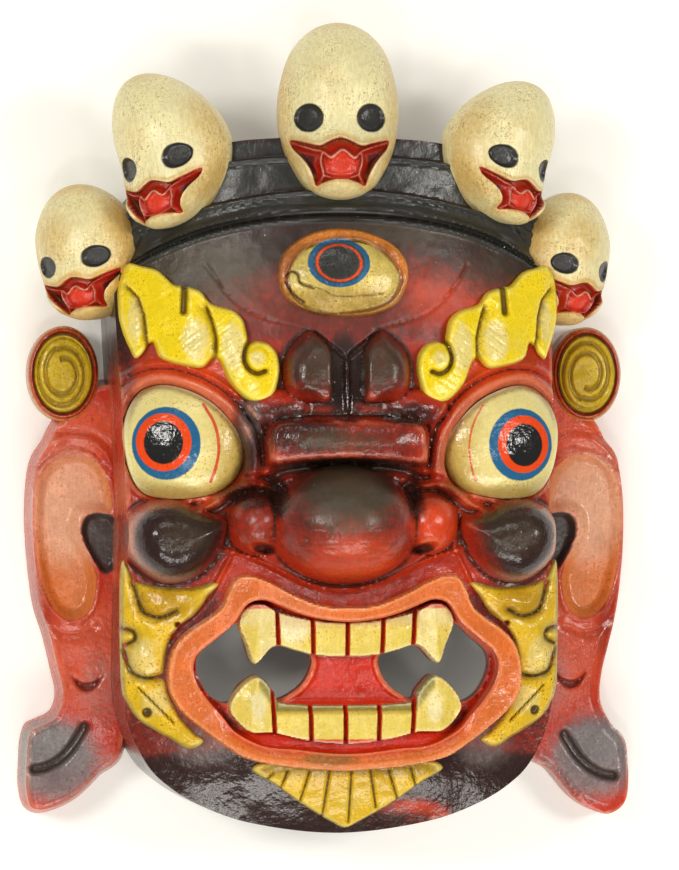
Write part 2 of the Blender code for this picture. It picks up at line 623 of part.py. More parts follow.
def thin_mesh(target, triangles):
    """Thin a mesh to about this many triangles, and keep its back flat."""
    count = sum(len(polygon.vertices) - 2 for polygon in target.data.polygons)
    modifier = target.modifiers.new("thin", "DECIMATE")
    modifier.ratio = min(1.0, triangles / count)
    apply_modifiers(target)
    for vertex in target.data.vertices:
        if abs(vertex.co.z) < 0.0004:
            vertex.co.z = 0.0


def centre_on_origin(target):
    """Move the mesh along the back plane until the middle of its box is at the origin."""
    places = np.array([tuple(vertex.co) for vertex in target.data.vertices])
    middle = (places.min(axis=0) + places.max(axis=0)) / 2.0
    target.data.transform(Matrix.Translation((-middle[0], -middle[1], 0.0)))


def paint_material():
    """Varnished red paint, the main colour of the mask."""
    material = bpy.data.materials.new("painted_wood")
    material.use_nodes = True
    shader = material.node_tree.nodes["Principled BSDF"]
    shader.inputs["Base Color"].default_value = WOOD_COLOUR
    shader.inputs["Roughness"].default_value = 0.35
    shader.inputs["Metallic"].default_value = 0.0
    return material


def make_collection(name):
    """Collection linked to the scene."""
    collection = bpy.data.collections.new(name)
    bpy.context.scene.collection.children.link(collection)
    return collection


def main():
    """Build the mask."""
    clear_scene()
    parts = make_collection("bhairab_mask")
    helpers = make_collection("joined_and_cut_shapes")

    spacing = POINT_SPACING / SCALE_Y
    head = smooth_outline(both_halves(HEAD_HALF), spacing)
    ear = smooth_outline(EAR_OUTLINE, spacing)
    ear_front = ear - outline_normals(ear) * (SIDE_FLARE / SCALE_Y)
    concha = smooth_outline(CONCHA_OUTLINE, spacing)
    mask = carved_solid("carved_mask", head, head_relief, parts, head_edges(spacing))
    added = all_skulls(helpers)
    for side, mirrored in ((1.0, False), (-1.0, True)):
        added.append(carved_solid("ear", ear_front, ear_relief, helpers, [concha], mirrored))
        added.append(ear_disc("ear_disc", side, helpers))
    for shape in added:
        add_boolean(mask, shape, "UNION")
    apply_modifiers(mask)
    thin_mesh(mask, CARVED_TRIANGLES)

    cutters = [hollow_cutter(helpers)]
    for side in (-1.0, 1.0):
        cutters.append(mouth_cutter("mouth_corner", side, helpers))
    for cutter in cutters:
        add_boolean(mask, cutter, "DIFFERENCE")
    apply_modifiers(mask)
    centre_on_origin(mask)
    for shape in added + cutters:
        shape.hide_render = True
        shape.display_type = "WIRE"
    mask.data.materials.clear()
    mask.data.materials.append(paint_material())


main()
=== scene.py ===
"""Dresses the wrathful mask: carved, painted and varnished wood, hollow behind.

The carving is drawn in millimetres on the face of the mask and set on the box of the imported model, so
it follows the model when that is made larger or smaller. X runs to the right of someone who looks at
the mask, Y to its crown and Z out of its face.
"""
import math

import bmesh
import bpy
import numpy as np
from mathutils import Matrix, Vector
from mathutils.geometry import delaunay_2d_cdt


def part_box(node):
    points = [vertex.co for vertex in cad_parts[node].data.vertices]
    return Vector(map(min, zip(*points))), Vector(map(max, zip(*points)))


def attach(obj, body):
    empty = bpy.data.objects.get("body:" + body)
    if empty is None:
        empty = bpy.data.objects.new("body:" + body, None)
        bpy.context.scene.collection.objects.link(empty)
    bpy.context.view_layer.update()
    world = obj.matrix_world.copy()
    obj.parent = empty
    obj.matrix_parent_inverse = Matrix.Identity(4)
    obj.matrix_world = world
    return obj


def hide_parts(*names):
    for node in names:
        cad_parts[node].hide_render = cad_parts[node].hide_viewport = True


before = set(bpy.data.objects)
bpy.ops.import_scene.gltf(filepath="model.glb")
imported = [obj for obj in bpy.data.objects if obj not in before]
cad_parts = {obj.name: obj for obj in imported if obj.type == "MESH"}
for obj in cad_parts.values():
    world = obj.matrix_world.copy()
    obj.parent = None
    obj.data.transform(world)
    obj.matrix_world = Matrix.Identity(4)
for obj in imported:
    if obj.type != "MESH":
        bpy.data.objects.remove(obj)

bl_info = {
    "name": "Wrathful mask",
    "version": (1, 0, 0),
    "blender": (4, 5, 0),
    "location": "3D View > Sidebar > Mask",
    "description": "Carves and paints a wooden mask with a third eye and five skulls",
    "category": "Add Mesh",
}

NODE = "carved_mask"
LOW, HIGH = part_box(NODE)
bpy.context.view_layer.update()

# Box of the carving as it is drawn, in millimetres
DRAWN_LOW = np.array([-136.0, -179.05, 0.0])
DRAWN_HIGH = np.array([136.0, 175.95, 122.0])
SCALE = (np.array(HIGH) - np.array(LOW)) / (DRAWN_HIGH - DRAWN_LOW)
MILLIMETRE = float(SCALE[1])
SHARP_ANGLE = math.radians(48.0)

# The features stand a little to one side of each other, as carving by eye leaves them
BROW_CENTRE = 1.6
EYE_CENTRE = 0.5
FROWN_CENTRE = 0.8
NOSE_CENTRE = -0.6
MOUTH_CENTRE = 1.6
CHIN_CENTRE = 2.5

# Right half of the head, from the top of the crown to the chin
HEAD_HALF = [(0, 126), (25, 125.3), (46, 123.5), (61, 118), (75, 109), (87, 98), (93.5, 87), (96.5, 73),
             (96, 50), (93.5, 0), (92, -40), (93, -75), (93.5, -114), (90.5, -131), (83, -146), (74, -155),
             (61, -163), (43, -170), (20, -174.5), (0, -176)]
HALF_FACE_WIDTH = 95.0
MIDDLE_PROFILE = [(130, 76), (100, 80), (85, 84), (60, 87), (35, 91), (10, 95), (-15, 95), (-50, 92),
                  (-75, 90), (-100, 87), (-125, 86), (-145, 84), (-160, 78), (-180, 66)]
EDGE_PROFILE = [(130, 44), (100, 46), (70, 53), (40, 58), (10, 65), (-10, 68), (-60, 71), (-100, 71),
                (-140, 70), (-180, 64)]
DOME_POWER = 2.3
SIDE_FLARE = 3.0
RIM_WIDTH = 12.0

# Sprayed black on the head: centre, radii and strength
SPRAYED_BLACK = [((-78, 66), (26, 28), 0.9), ((-46, 66), (22, 14), 0.6), ((80, 76), (16, 18), 0.85),
                 ((0, 46), (34, 7), 0.6), ((-14, 27), (17, 19), 0.8), ((15, 27), (17, 19), 0.78),
                 ((0, 22), (12, 26), 1.0), ((-27, 5), (18, 7), 0.75), ((27, 5), (18, 7), 0.8),
                 ((-18, -4), (24, 11), 0.8), ((16, -7), (22, 13), 0.55), ((0, -16.5), (40, 4.5), 1.0),
                 ((0, -27), (31, 14), 0.97), ((-16, -35), (19, 17), 0.65), ((14, -35), (20, 15), 0.6),
                 ((-22, -46), (10, 15), 0.5), ((23, -47), (9, 13), 0.4), ((-29, -30), (7, 13), 0.9),
                 ((29, -30), (7, 13), 0.85), ((-41, -30), (17, 8), 0.8), ((41, -29), (14, 6), 0.5),
                 ((-38, -42), (14, 15), 0.5), ((-52, -38), (12, 9), 0.5), ((0, -70), (60, 9), 0.35),
                 ((-41, -4), (9, 24), 0.85), ((38, -12), (6, 14), 0.35), ((-72, -49), (25, 20), 1.0),
                 ((76, -47), (24, 20), 1.0), ((-92, 50), (6, 44), 0.8), ((0, -172), (60, 10), 0.9)]

# Red rubbed brighter, and red lightened down the left side wall as painted light from the left: centre, radii
# and strength
RUBBED_RED_AND_LIT_WALL = [((-38, -44), (12, 12), 0.4), ((38, -41), (14, 15), 1.0), ((-66, -34), (26, 6), 0.8),
              ((66, -34), (26, 6), 0.8), ((-62, 22), (32, 11), 1.0), ((62, 22), (32, 11), 1.0),
              ((46, 58), (24, 16), 0.6), ((-34, 50), (14, 12), 0.35), ((-46, -66), (12, 8), 0.5),
              ((46, -66), (12, 8), 0.6), ((4, -56), (22, 12), 0.8), ((30, -168), (20, 8), 0.8),
              ((-95, -84), (4, 62), 0.8)]

# Painted grey sheen on the black, partly grey paint: centre, radii and strength
GREY_SHEEN_ON_BLACK = [((-41, 4), (6, 14), 0.55), ((-60, -137), (16, 11), 0.55), ((62, -139), (16, 11), 0.5),
              ((24, -160), (16, 11), 0.3)]

# Olive brown where black was sprayed thinly over red, partly a painted sheen of the varnish: centre, radii
# and strength
OLIVE_BROWN_AND_SHEEN = [((-1, -32), (24, 20), 0.85), ((-58, 66), (34, 24), 0.75), ((30, 84), (50, 10), 0.6),
              ((66, 66), (22, 18), 0.5), ((-13, 26), (13, 14), 0.6), ((14, 26), (13, 14), 0.6),
              ((-4, -6), (24, 7), 0.7), ((-70, -46), (16, 12), 0.5), ((72, -46), (18, 13), 0.5),
              ((0, -48), (30, 18), 0.45), ((0, 62), (90, 30), 0.4)]

# Varnish that has gone duller: centre, radii and strength
DULL_VARNISH = [((0, 64), (96, 40), 1.0), ((-1, -30), (24, 15), 0.9)]

# Crown
BEAD_LEVELS = (81.0, 73.0, 66.0)
CROWN_EDGE_LEVEL = 44.0
CROWN_SIDE_CUTS = [[(74, 106), (84, 97), (91, 86), (96.5, 72)], [(70, 99), (79, 88), (86, 79), (91, 70)]]

# Right lump of the frown
FROWN_LUMP = [(6.6, 11.5), (6.4, 22), (6.8, 31), (9.5, 36), (15, 41), (21, 37.6), (25.4, 32), (27.2, 24),
              (26.4, 15.5), (22, 10.4), (13.5, 9.6)]

# Right half of the bar across the bridge of the nose
BAR_HALF = [(0, 2.6), (14, 2.4), (27, 1.6), (31.4, -0.8), (32.4, -8.0), (31.8, -15.5), (24, -15.2),
            (12, -13.8), (0, -13.2)]

# Third eye
THIRD_LID = [(-28.0, 66.8), (-25.9, 74.5), (-18.6, 80.8), (-9.6, 84.4), (0.2, 85.3), (9.7, 84.0),
             (20.8, 79.5), (26.8, 73.3), (28.7, 66.4), (27.2, 59.3), (22.9, 52.7), (13.9, 48.4),
             (3.2, 47.1), (-7.9, 47.6), (-16.5, 49.7), (-24.0, 54.4), (-27.6, 60.4)]
THIRD_BALL = [(-23.8, 64.2), (-20.8, 71.8), (-14.6, 77.3), (-4.0, 79.8), (7.2, 79.6), (15.7, 75.7),
              (22.1, 68.9), (23.9, 62.4), (20.4, 55.6), (13.6, 51.3), (2.9, 49.2), (-8.2, 48.8),
              (-16.8, 51.3), (-21.9, 56.5)]
THIRD_IRIS = (-2.4, 70.2)
THIRD_RADII = ((13.4, 10.6), (10.0, 8.2), (7.9, 6.4))

# Right half of the features, each from its own centre line
EYE_HALF = [(94.0, -3), (91.8, 8), (85.5, 16), (75.5, 17.8), (63.5, 14), (54, 7.5), (46.5, -2), (43.2, -12),
            (44, -20), (50, -26.5), (61.5, -30), (74.5, -31), (85.5, -28.5), (91.5, -19)]
IRIS = {-1: ((-76.2, -7.1), (-77.3, -6.6), (-77.5, -6.8)), 1: ((76.9, -7.7), (78.0, -7.5), (78.4, -7.9))}
IRIS_RADII = ((14.4, 15.6), (11.6, 12.4), (8.2, 9.2))
VEIN = [(60.4, 9.6), (55.7, 0.9), (54.0, -8.6), (55.3, -17.8), (57.4, -23.4)]
BROW_HALF = [(92.5, 70.5), (86, 69.5), (79.5, 67.3), (73.5, 61.5), (69.5, 60.7), (62.5, 58.4), (57.8, 53),
             (49, 50), (44.5, 45.6), (42.2, 37), (38.5, 36.8), (34, 35.5), (30.6, 31.6), (29.4, 26),
             (30, 20), (32, 14), (36, 11), (41, 10.3), (45.8, 13.1), (51, 19.2), (56, 29), (62, 25.3),
             (69, 25.9), (76, 27.8), (80, 30.5), (82.5, 36.4), (86, 32), (89.5, 29.5), (92, 34), (95, 42),
             (96.5, 50), (96.3, 62)]
# Edges along which a leaf of the brow dips below the next, and how far the dip reaches
BROW_LEAVES = [([(93, 61.5), (88, 56), (85.6, 48), (84.6, 38), (83.0, 31)], 3.0),
               ([(60, 52.5), (57.4, 45), (55.8, 38), (56, 30), (58, 24)], 3.4)]
BROW_SLOT = [(69.0, 62.5), (69.4, 56.5), (69.8, 49.5)]
BROW_CURL_CUT = [(41.6, 37.5), (44.0, 33.5), (44.8, 28.8), (43.0, 24.6), (39.4, 22.6), (36.0, 23.6)]
BROW_BUTTON = (39.4, 29.2)
LIP_OUTER_HALF = [(0, -76.8), (12, -75.7), (24, -71), (34, -65.8), (42.5, -63), (48.5, -64.5), (52, -70),
                  (54.5, -76.5), (60, -81.5), (68, -87), (74, -93.5), (77, -103), (76.5, -113), (71.5, -122),
                  (61, -131), (52, -137.5), (45, -142), (35, -144.8), (20, -147), (0, -148.2)]
LIP_INNER_HALF = [(0, -83.5), (12, -82.3), (22, -79.6), (30, -76.3), (37, -74), (43.5, -76), (49, -84),
                  (57, -91), (64, -97), (66, -103), (64.5, -110), (60, -117), (54, -124), (48, -131),
                  (36, -137), (22, -138.5), (10, -140), (0, -140.5)]
MOUTH_HOLE_HALF = [(46.5, -84.5), (55, -91), (62, -97), (64, -102.5), (62.5, -109), (58.7, -115.2),
                   (54, -118.5), (49.5, -118.5), (45.5, -111.5), (38, -107.3), (31.6, -113), (28.8, -117.5),
                   (20, -112.5), (15.5, -106), (14.8, -99), (22, -95.8), (31, -94.6), (39.5, -101.7),
                   (43.5, -93)]
UPPER_TEETH_HALF = [(0, -83.8), (14, -82.8), (29, -79.4), (36, -75.8), (43, -76.8), (46.8, -84), (43.6, -93),
                    (39.5, -101.9), (31.2, -94.4), (22, -96.2), (14, -98.2), (0, -99)]
UPPER_GAPS = (-28.2, -13.2, 1.7, 17.1, 30.6)
LOWER_TEETH_HALF = [(0, -119.6), (14, -119.4), (28, -118.2), (31.4, -113.4), (38, -107), (45.5, -111.3),
                    (50.6, -120), (47.4, -126.6), (41, -131.4), (31.4, -131.8), (16, -135.4), (0, -136.8)]
LOWER_GAPS = (-29.6, -13.8, 1.2, 15.8, 30.6)
UPPER_FANG = [(37.0, -77), (38.8, -89), (39.6, -101)]
LOWER_FANG = [(38.4, -108), (40.0, -119), (40.4, -130)]
SIDE_BEARD_HALF = [(95, -60), (89, -65.5), (80, -68.5), (66, -69), (54, -66.5), (58.5, -73), (63, -79.5),
                   (70, -85.5), (73.6, -90), (75.6, -96), (76.6, -103), (76.2, -110), (74, -117),
                   (69.8, -124.6), (64.2, -131), (60, -135), (66, -138.5), (74, -134.5), (86.5, -127),
                   (92, -120), (95, -108)]
BEARD_CUTS = [([(90, -67), (88.4, -73), (85.5, -79.6), (78.5, -81.8), (72, -79)], 2.4),
              ([(95, -86.5), (90, -88), (89.4, -91.5), (93.5, -94)], 2.6),
              ([(94, -96), (91, -105), (84.5, -108), (77, -107)], 2.6),
              ([(88, -112), (80, -120), (73, -127)], 1.4)]
BEARD_HOLES = [(84.2, -122.7, 2.6), (71.5, -84.8, 1.4)]
CHIN_BEARD_HALF = [(0, -144), (30, -143), (41.5, -147), (31.5, -154), (22, -161), (13.5, -166.5), (6, -171),
                   (0, -173.6)]
CHIN_PLEATS = [[(-30, -149), (-33, -152)], [(-23.8, -148), (-26.9, -156.5)], [(-14.4, -148), (-17.8, -161)],
               [(-5.8, -148), (-7.9, -168)], [(3.7, -148), (3.7, -171)], [(11.9, -148), (15.3, -164.5)],
               [(20, -148), (24.3, -160.5)], [(29.5, -147), (32.1, -155)]]
CHEEK_HALF = [(94, -47), (92, -39), (86, -33), (77, -31), (67, -32), (57, -35.5), (49.5, -37.5), (47.5, -42),
              (50, -49), (54.5, -57), (61.5, -63.8), (69, -67), (77, -67.4), (85, -63.4), (91.6, -56.2)]

# Ears and their ornaments
EAR_OUTLINE = [(120, 4), (125.5, -5.8), (130.5, -14), (132.6, -25), (133.2, -41), (132, -60), (129.5, -79),
               (125.2, -93), (121.4, -109), (119.6, -118), (121.8, -126), (128, -129.4), (133, -132.2),
               (135.2, -139), (135.8, -148), (136, -159), (133.8, -168.4), (128.3, -171.8), (120, -170.5),
               (110, -165.5), (100, -156),
               (88, -142), (87, -90), (87, -20), (88, 16), (104, 20)]
RIGHT_EAR_OUTLINE = [(120.5, 4), (125.8, -4.8), (131.1, -12.5), (133.4, -24), (134.4, -41.4), (133.5, -63),
                     (131.2, -82), (128, -96), (124.6, -110), (124, -122), (128.5, -132), (134.6, -138.6),
                     (136.6, -148.4), (135.9, -166.2), (129.3, -173), (121.8, -172.5), (111.5, -166.2),
                     (101.5, -154.5), (90, -142), (87, -90), (87, -20), (88, 16), (104, 20)]
CONCHA_OUTLINE = [(129, -35), (127, -22.5), (121.5, -15.5), (113.5, -12.5), (105, -13.5), (98.6, -19.5),
                  (95.8, -29), (96.0, -37.2), (103, -37.0), (109.4, -38.6), (110.6, -45.8), (108.2, -52.6),
                  (104.6, -59.2), (102.2, -66), (102.6, -73), (104.6, -80), (109.8, -84.6), (116.5, -84),
                  (122.2, -78), (126.2, -68), (128.8, -54)]
LOBE_SLOT = [(129.3, -151), (124.6, -150.2), (118.5, -147), (113.1, -141.6), (107.2, -132.4)]
EAR_COMMA = [(108.0, -41.2), (104.8, -38.2), (99.8, -37.8), (94.6, -39.6), (91.0, -46), (91.4, -58),
             (95.6, -64.0), (99.2, -64.6), (103.0, -60.0), (106.6, -53.4), (108.8, -46.8)]
EAR_CRESCENT = [(113.4, -108.8), (109.6, -111.9), (105.6, -112.7), (102, -111.2), (98.9, -108.4),
                (100.2, -112.6), (103.4, -116.2), (107.4, -116.9), (111, -114.2)]
EAR_TOP_FOLD = [(130.3, -15.1), (123.6, -8), (114.3, -4.9), (105, -6), (98.3, -11.5), (95.2, -18.2)]
EAR_LOW_FOLD = [(124, -84), (119, -89.5), (112, -91), (104, -88)]

# Paint of the ears: centre, radii and strength
EAR_BLACK = [((122, -141), (20, 13), 0.8), ((126, -84), (6, 34), 0.4)]
EAR_RED = [((106, -98), (22, 36), 0.9), ((112, -2), (30, 16), 0.9)]
EAR_GREY = [((121, -147), (24, 21), 0.95), ((98, -156), (12, 16), 0.5), ((100, -114), (12, 22), 0.35)]

# Oval ornament above each ear
DISC_CENTRE = (116.8, 23.6)
DISC_RADII = (15.6, 21.0)
DISC_DEPTH = 26.0
DISC_RINGS = (0.30, 0.52, 0.76)

# Skulls: centre, height over the rim, half width, half height, lean and turn in degrees, how far the chin
# is brought forward, and how far both ends are bent sideways
SKULLS = {"middle": ((0.6, 136.5), 60.0, 26.6, 39.4, 0.0, -4.0, 19.0, 0.0),
          "upper_left": ((-69.4, 120.2), 56.0, 25.2, 34.0, 16.0, -37.0, 6.0, -7.0),
          "upper_right": ((69.6, 120.6), 56.0, 24.6, 31.6, -16.0, 36.0, 6.0, 7.0),
          "lower_left": ((-105.0, 76.8), 34.0, 24.0, 30.0, 13.0, -32.0, 3.0, -2.0),
          "lower_right": ((101.8, 74.6), 34.0, 22.6, 29.6, -10.0, 32.0, 3.0, 2.0)}

# Face of a skull, drawn on the middle one and stretched for the others
SKULL_FACE_HALF = (25.6, 39.4)
SKULL_MOUTH_HALF = [(0, -12.4), (4.0, -13.6), (8.6, -15.8), (13.6, -14.6), (20.4, -13.0), (19.6, -16.8),
                    (16.8, -20.4), (13.8, -24.6), (11.6, -29), (10.2, -33.4), (7.0, -32.0), (3.6, -31.0),
                    (0, -30.8)]
SKULL_SOCKET = (12.9, -3.6, 6.1, 6.3)
SKULL_TEARS = [[(-20, -14.4), (-12, -17.4), (-7.5, -18.6), (-4, -21.2), (0.8, -17.8), (5.5, -21.4),
               (8.5, -18.6), (13, -16.6), (20, -14.2)], [(-7.5, -18.6), (-8.4, -23), (-7.4, -29),
               (-9.6, -33)], [(8.5, -18.6), (8.8, -23.4), (7.6, -28.6), (9.6, -33)], [(-7.4, -29),
               (-3, -30.2), (3, -30.2), (7.6, -28.6)]]

# Stage, in metres and watts
FLOOR_REACH = 3.0
FLOOR_DROP = 0.001
LIGHT_TARGET = (0.0, 0.0, 0.05)
# Name, place, width, height and power
LIGHTS = [("left_light", (-1.05, 0.35, 1.5), 0.35, 0.5, 13.0),
          ("right_light", (1.1, 0.2, 1.5), 0.3, 0.45, 11.5),
          ("crown_light", (-0.1, 1.4, 1.5), 0.7, 0.25, 3.2),
          ("chin_light", (0.0, -1.5, 1.2), 1.5, 0.3, 15.0),
          ("low_left_light", (-0.35, -0.6, 1.9), 0.16, 0.2, 3.8),
          ("front_light", (0.3, -0.3, 2.1), 0.16, 0.2, 2.4)]
CAMERA_PLACE = (-0.2204, -0.0020, 2.007)
CAMERA_TURN = math.radians(-6.5)
CAMERA_LENS = 238.6


def linear(code):
    """Linear red, green, blue and alpha of an sRGB hex colour."""
    channels = [int(code[place:place + 2], 16) / 255.0 for place in (1, 3, 5)]
    return tuple(c / 12.92 if c <= 0.04045 else ((c + 0.055) / 1.055) ** 2.4 for c in channels) + (1.0,)


def colour(label, code, description):
    """Colour setting whose default is an sRGB hex colour."""
    return bpy.props.FloatVectorProperty(name=label, description=description, subtype="COLOR", size=4,
                                         min=0.0, max=1.0, default=linear(code))


def length(label, metres, description):
    """Length setting."""
    return bpy.props.FloatProperty(name=label, description=description, default=metres, min=0.0,
                                   subtype="DISTANCE", unit="LENGTH")


class MaskSizes(bpy.types.PropertyGroup):
    """Sizes of the carving that stands out of the face."""
    spacing: length("Point spacing", 0.00095, "Between the points of the carved surfaces")
    brow: length("Brow height", 0.0062, "How far the brows stand out of the forehead")
    lips: length("Lip height", 0.0066, "How far the lips stand out of the face")
    teeth: length("Tooth height", 0.0062, "How far the teeth stand out of the gums")
    beard: length("Beard height", 0.0030, "How far the beard stands out of the jaw")
    wall: length("Wall", 0.011, "Wood between the carving and the hollow")
    ears: length("Ear thickness", 0.020, "Ears from their back to their edge")


class MaskColours(bpy.types.PropertyGroup):
    """Paints of the mask."""
    red: colour("Red", "#B22C12", "Face and ears")
    orange_red: colour("Orange red", "#D8441A", "Wings of the nose and the skin round the eyes")
    black: colour("Black", "#211A17", "Sprayed shadows of the face")
    crown: colour("Crown", "#2F2F2C", "Crown and its bead")
    lips: colour("Lips", "#DC6C26", "Lips and the lid of the third eye")
    gums: colour("Gums", "#CC2606", "Gums and tongue")
    teeth: colour("Teeth", "#E2C95A", "Teeth and fangs")
    yellow: colour("Yellow", "#F2D408", "Brows")
    beard: colour("Beard", "#E2B81E", "Beard beside the mouth and on the chin")
    bone: colour("Bone", "#EEE3AC", "Skulls")
    eye: colour("Eye", "#E8D88C", "White of the eyes")
    iris: colour("Iris", "#23628C", "Outer ring of the eyes")
    ring: colour("Ring", "#E8480E", "Inner ring of the eyes")
    disc: colour("Ear ornament", "#CFAE1C", "Ornaments above the ears")
    concha: colour("Ear hollow", "#E07C3C", "Hollow of the ears")
    wood: colour("Bare wood", "#7A5636", "Inside of the mask")


# Curves and distances in the plane of the carving


def both_halves(half, centre=0.0):
    """Whole outline from its right half, which starts and ends on the centre line."""
    right = [(centre + x, y) for x, y in half]
    left = [(centre - x, y) for x, y in reversed(half) if x > 0]
    return right + left


def curve_samples(before, starts, ends, beyond, spacing):
    """Points about every spacing along a smooth curve that runs from each start to its end."""
    samples = []
    for p0, p1, p2, p3 in zip(before, starts, ends, beyond):
        steps = max(1, round(float(np.linalg.norm(p2 - p1)) / spacing))
        for step in range(steps):
            t = step / steps
            samples.append(0.5 * (2 * p1 + (p2 - p0) * t + (2 * p0 - 5 * p1 + 4 * p2 - p3) * t ** 2
                                  + (3 * p1 - p0 - 3 * p2 + p3) * t ** 3))
    return samples


def smooth_outline(points, spacing):
    """Closed curve through the points, sampled about every spacing."""
    points = np.array(points, float)
    before, after, beyond = (np.roll(points, shift, axis=0) for shift in (1, -1, -2))
    return np.array(curve_samples(before, points, after, beyond, spacing))


def smooth_line(points, spacing=1.0):
    """Open curve through the points, sampled about every spacing."""
    points = np.array(points, float)
    before = np.vstack([2 * points[0] - points[1], points[:-2]])
    beyond = np.vstack([points[2:], 2 * points[-1] - points[-2]])
    return np.array(curve_samples(before, points[:-1], points[1:], beyond, spacing) + [points[-1]])


def clockwise(outline):
    """The outline, turned round if it runs the other way."""
    following = np.roll(outline, -1, axis=0)
    area = np.sum(outline[:, 0] * following[:, 1] - following[:, 0] * outline[:, 1])
    return outline if area < 0 else outline[::-1].copy()


def whole_outline(half, spacing, centre=0.0):
    """Clockwise outline of a feature that lies across its centre line, from its right half."""
    return clockwise(smooth_outline(both_halves(half, centre), spacing))


def side_outline(half, spacing, side, centre):
    """Clockwise outline of a feature that lies on one side of its centre line, drawn for the right side."""
    return clockwise(smooth_outline(half, spacing) * (side, 1.0) + (centre, 0.0))


def nearest_on_segments(starts, ends, x, y):
    """Distance from each point to a run of segments."""
    best = np.full(np.shape(x), np.inf)
    for (ax, ay), (bx, by) in zip(starts, ends):
        dx = bx - ax
        dy = by - ay
        along = np.clip(((x - ax) * dx + (y - ay) * dy) / (dx * dx + dy * dy + 1e-12), 0.0, 1.0)
        best = np.minimum(best, (x - ax - along * dx) ** 2 + (y - ay - along * dy) ** 2)
    return np.sqrt(best)


def near(points, x, y, reach):
    """Which points lie within reach of the box round a curve."""
    low = points.min(axis=0) - reach
    high = points.max(axis=0) + reach
    return (x > low[0]) & (x < high[0]) & (y > low[1]) & (y < high[1])


def inside_distance(outline, x, y, reach=14.0):
    """Distance from each point to a closed outline, positive inside it, and no lower than -reach."""
    result = np.full(np.shape(x), -reach)
    chosen = near(outline, x, y, reach)
    px = x[chosen]
    py = y[chosen]
    ends = np.roll(outline, -1, axis=0)
    inside = np.zeros(px.shape, bool)
    for (ax, ay), (bx, by) in zip(outline, ends):
        crosses = (ay > py) != (by > py)
        slope = (bx - ax) / (by - ay) if by != ay else 0.0
        inside ^= crosses & (px < ax + (py - ay) * slope)
    distance = nearest_on_segments(outline, ends, px, py)
    result[chosen] = np.where(inside, distance, -np.minimum(distance, reach))
    return result


def line_distance(points, x, y, reach=14.0):
    """Distance from each point to a smooth open line, and no more than reach."""
    curve = smooth_line(points) if len(points) > 2 else np.array(points, float)
    result = np.full(np.shape(x), reach)
    chosen = near(curve, x, y, reach)
    result[chosen] = np.minimum(nearest_on_segments(curve[:-1], curve[1:], x[chosen], y[chosen]), reach)
    return result


def profile_height(profile, y):
    """Height of a smooth profile at each y, from a few (y, height) pairs."""
    points = np.array(profile, float)
    before = np.vstack([points[:1], points[:-1]])
    after = np.vstack([points[1:], points[-1:]])
    slopes = (after[:, 1] - before[:, 1]) / (after[:, 0] - before[:, 0])
    order = np.argsort(points[:, 0])
    knots = points[order, 0]
    heights = points[order, 1]
    slopes = slopes[order]
    cell = np.clip(np.searchsorted(knots, y) - 1, 0, len(knots) - 2)
    width = knots[cell + 1] - knots[cell]
    t = np.clip((y - knots[cell]) / width, 0.0, 1.0)
    rise = heights[cell + 1] - heights[cell]
    start = slopes[cell] * width
    end = slopes[cell + 1] * width
    return heights[cell] + t * (start + t * (3 * rise - 2 * start - end + t * (start + end - 2 * rise)))


def smooth_step(value, start, end):
    """0 before start, 1 after end, and an even curve between."""
    t = np.clip((value - start) / (end - start), 0.0, 1.0)
    return t * t * (3.0 - 2.0 * t)


def soft_max(a, b, reach):
    """The higher of two surfaces, with a fillet of about this reach where they meet."""
    overlap = np.maximum(reach - np.abs(a - b), 0.0) / reach
    return np.maximum(a, b) + overlap * overlap * reach / 4.0


def oval(x, y, centre, radii):
    """0 at the centre of an oval and 1 on it."""
    return np.hypot((x - centre[0]) / radii[0], (y - centre[1]) / radii[1])


def dome(x, y, centre, radii, base, top):
    """Half an egg standing on the height base, and far below it outside."""
    reach = oval(x, y, centre, radii)
    return np.where(reach < 1.0, base + (top - base) * np.sqrt(np.maximum(1.0 - reach * reach, 0.0)), -999.0)


def cloud(x, y, centre, radii, strength=1.0):
    """Soft patch of sprayed paint."""
    return strength * (1.0 - smooth_step(oval(x, y, centre, radii), 0.35, 1.3))


def clouds(x, y, patches):
    """The strongest of several soft patches at each point."""
    return np.max([cloud(x, y, *patch) for patch in patches], axis=0)


def bevel(distance, height, width):
    """Rise from an edge that is round at first and flat from this width on."""
    t = np.clip(distance / width, 0.0, 1.0)
    return height * np.sqrt(1.0 - (1.0 - t) ** 2)


def groove(distance, width, depth):
    """Rounded cut along a line."""
    return depth * np.clip(1.0 - (distance / (width / 2.0)) ** 2, 0.0, 1.0)


def ridge(distance, width, height):
    """Soft raised line."""
    return height * np.exp(-(distance / (width / 2.0)) ** 2)


def ripple(x, y, size, seed):
    """Smooth noise from -1 to 1 with bumps of about this size."""
    table = np.random.default_rng(seed).uniform(-1.0, 1.0, (64, 64))
    u = x / size + 1000.0
    v = y / size + 1000.0
    column = np.floor(u).astype(int)
    row = np.floor(v).astype(int)
    s = smooth_step(u - column, 0.0, 1.0)
    t = smooth_step(v - row, 0.0, 1.0)
    low = table[column % 64, row % 64] * (1 - s) + table[(column + 1) % 64, row % 64] * s
    high = table[column % 64, (row + 1) % 64] * (1 - s) + table[(column + 1) % 64, (row + 1) % 64] * s
    return low * (1 - t) + high * t


# The face


def plain_face(x, y):
    """Height of the face before anything is carved on it."""
    across = np.minimum(np.abs(x) / HALF_FACE_WIDTH, 1.05)
    middle = profile_height(MIDDLE_PROFILE, y)
    edge = profile_height(EDGE_PROFILE, y)
    return middle - (middle - edge) * across ** DOME_POWER


def crown_lines(x):
    """Heights up the mask of the bead and of the two steps between the bands."""
    bead = 92.5 - 0.0018 * x ** 2 - 1.2e-7 * x ** 4
    first_step = 102.4 - 0.0022 * x ** 2
    second_step = 117.6 - 0.0012 * x ** 2
    return bead, first_step, second_step


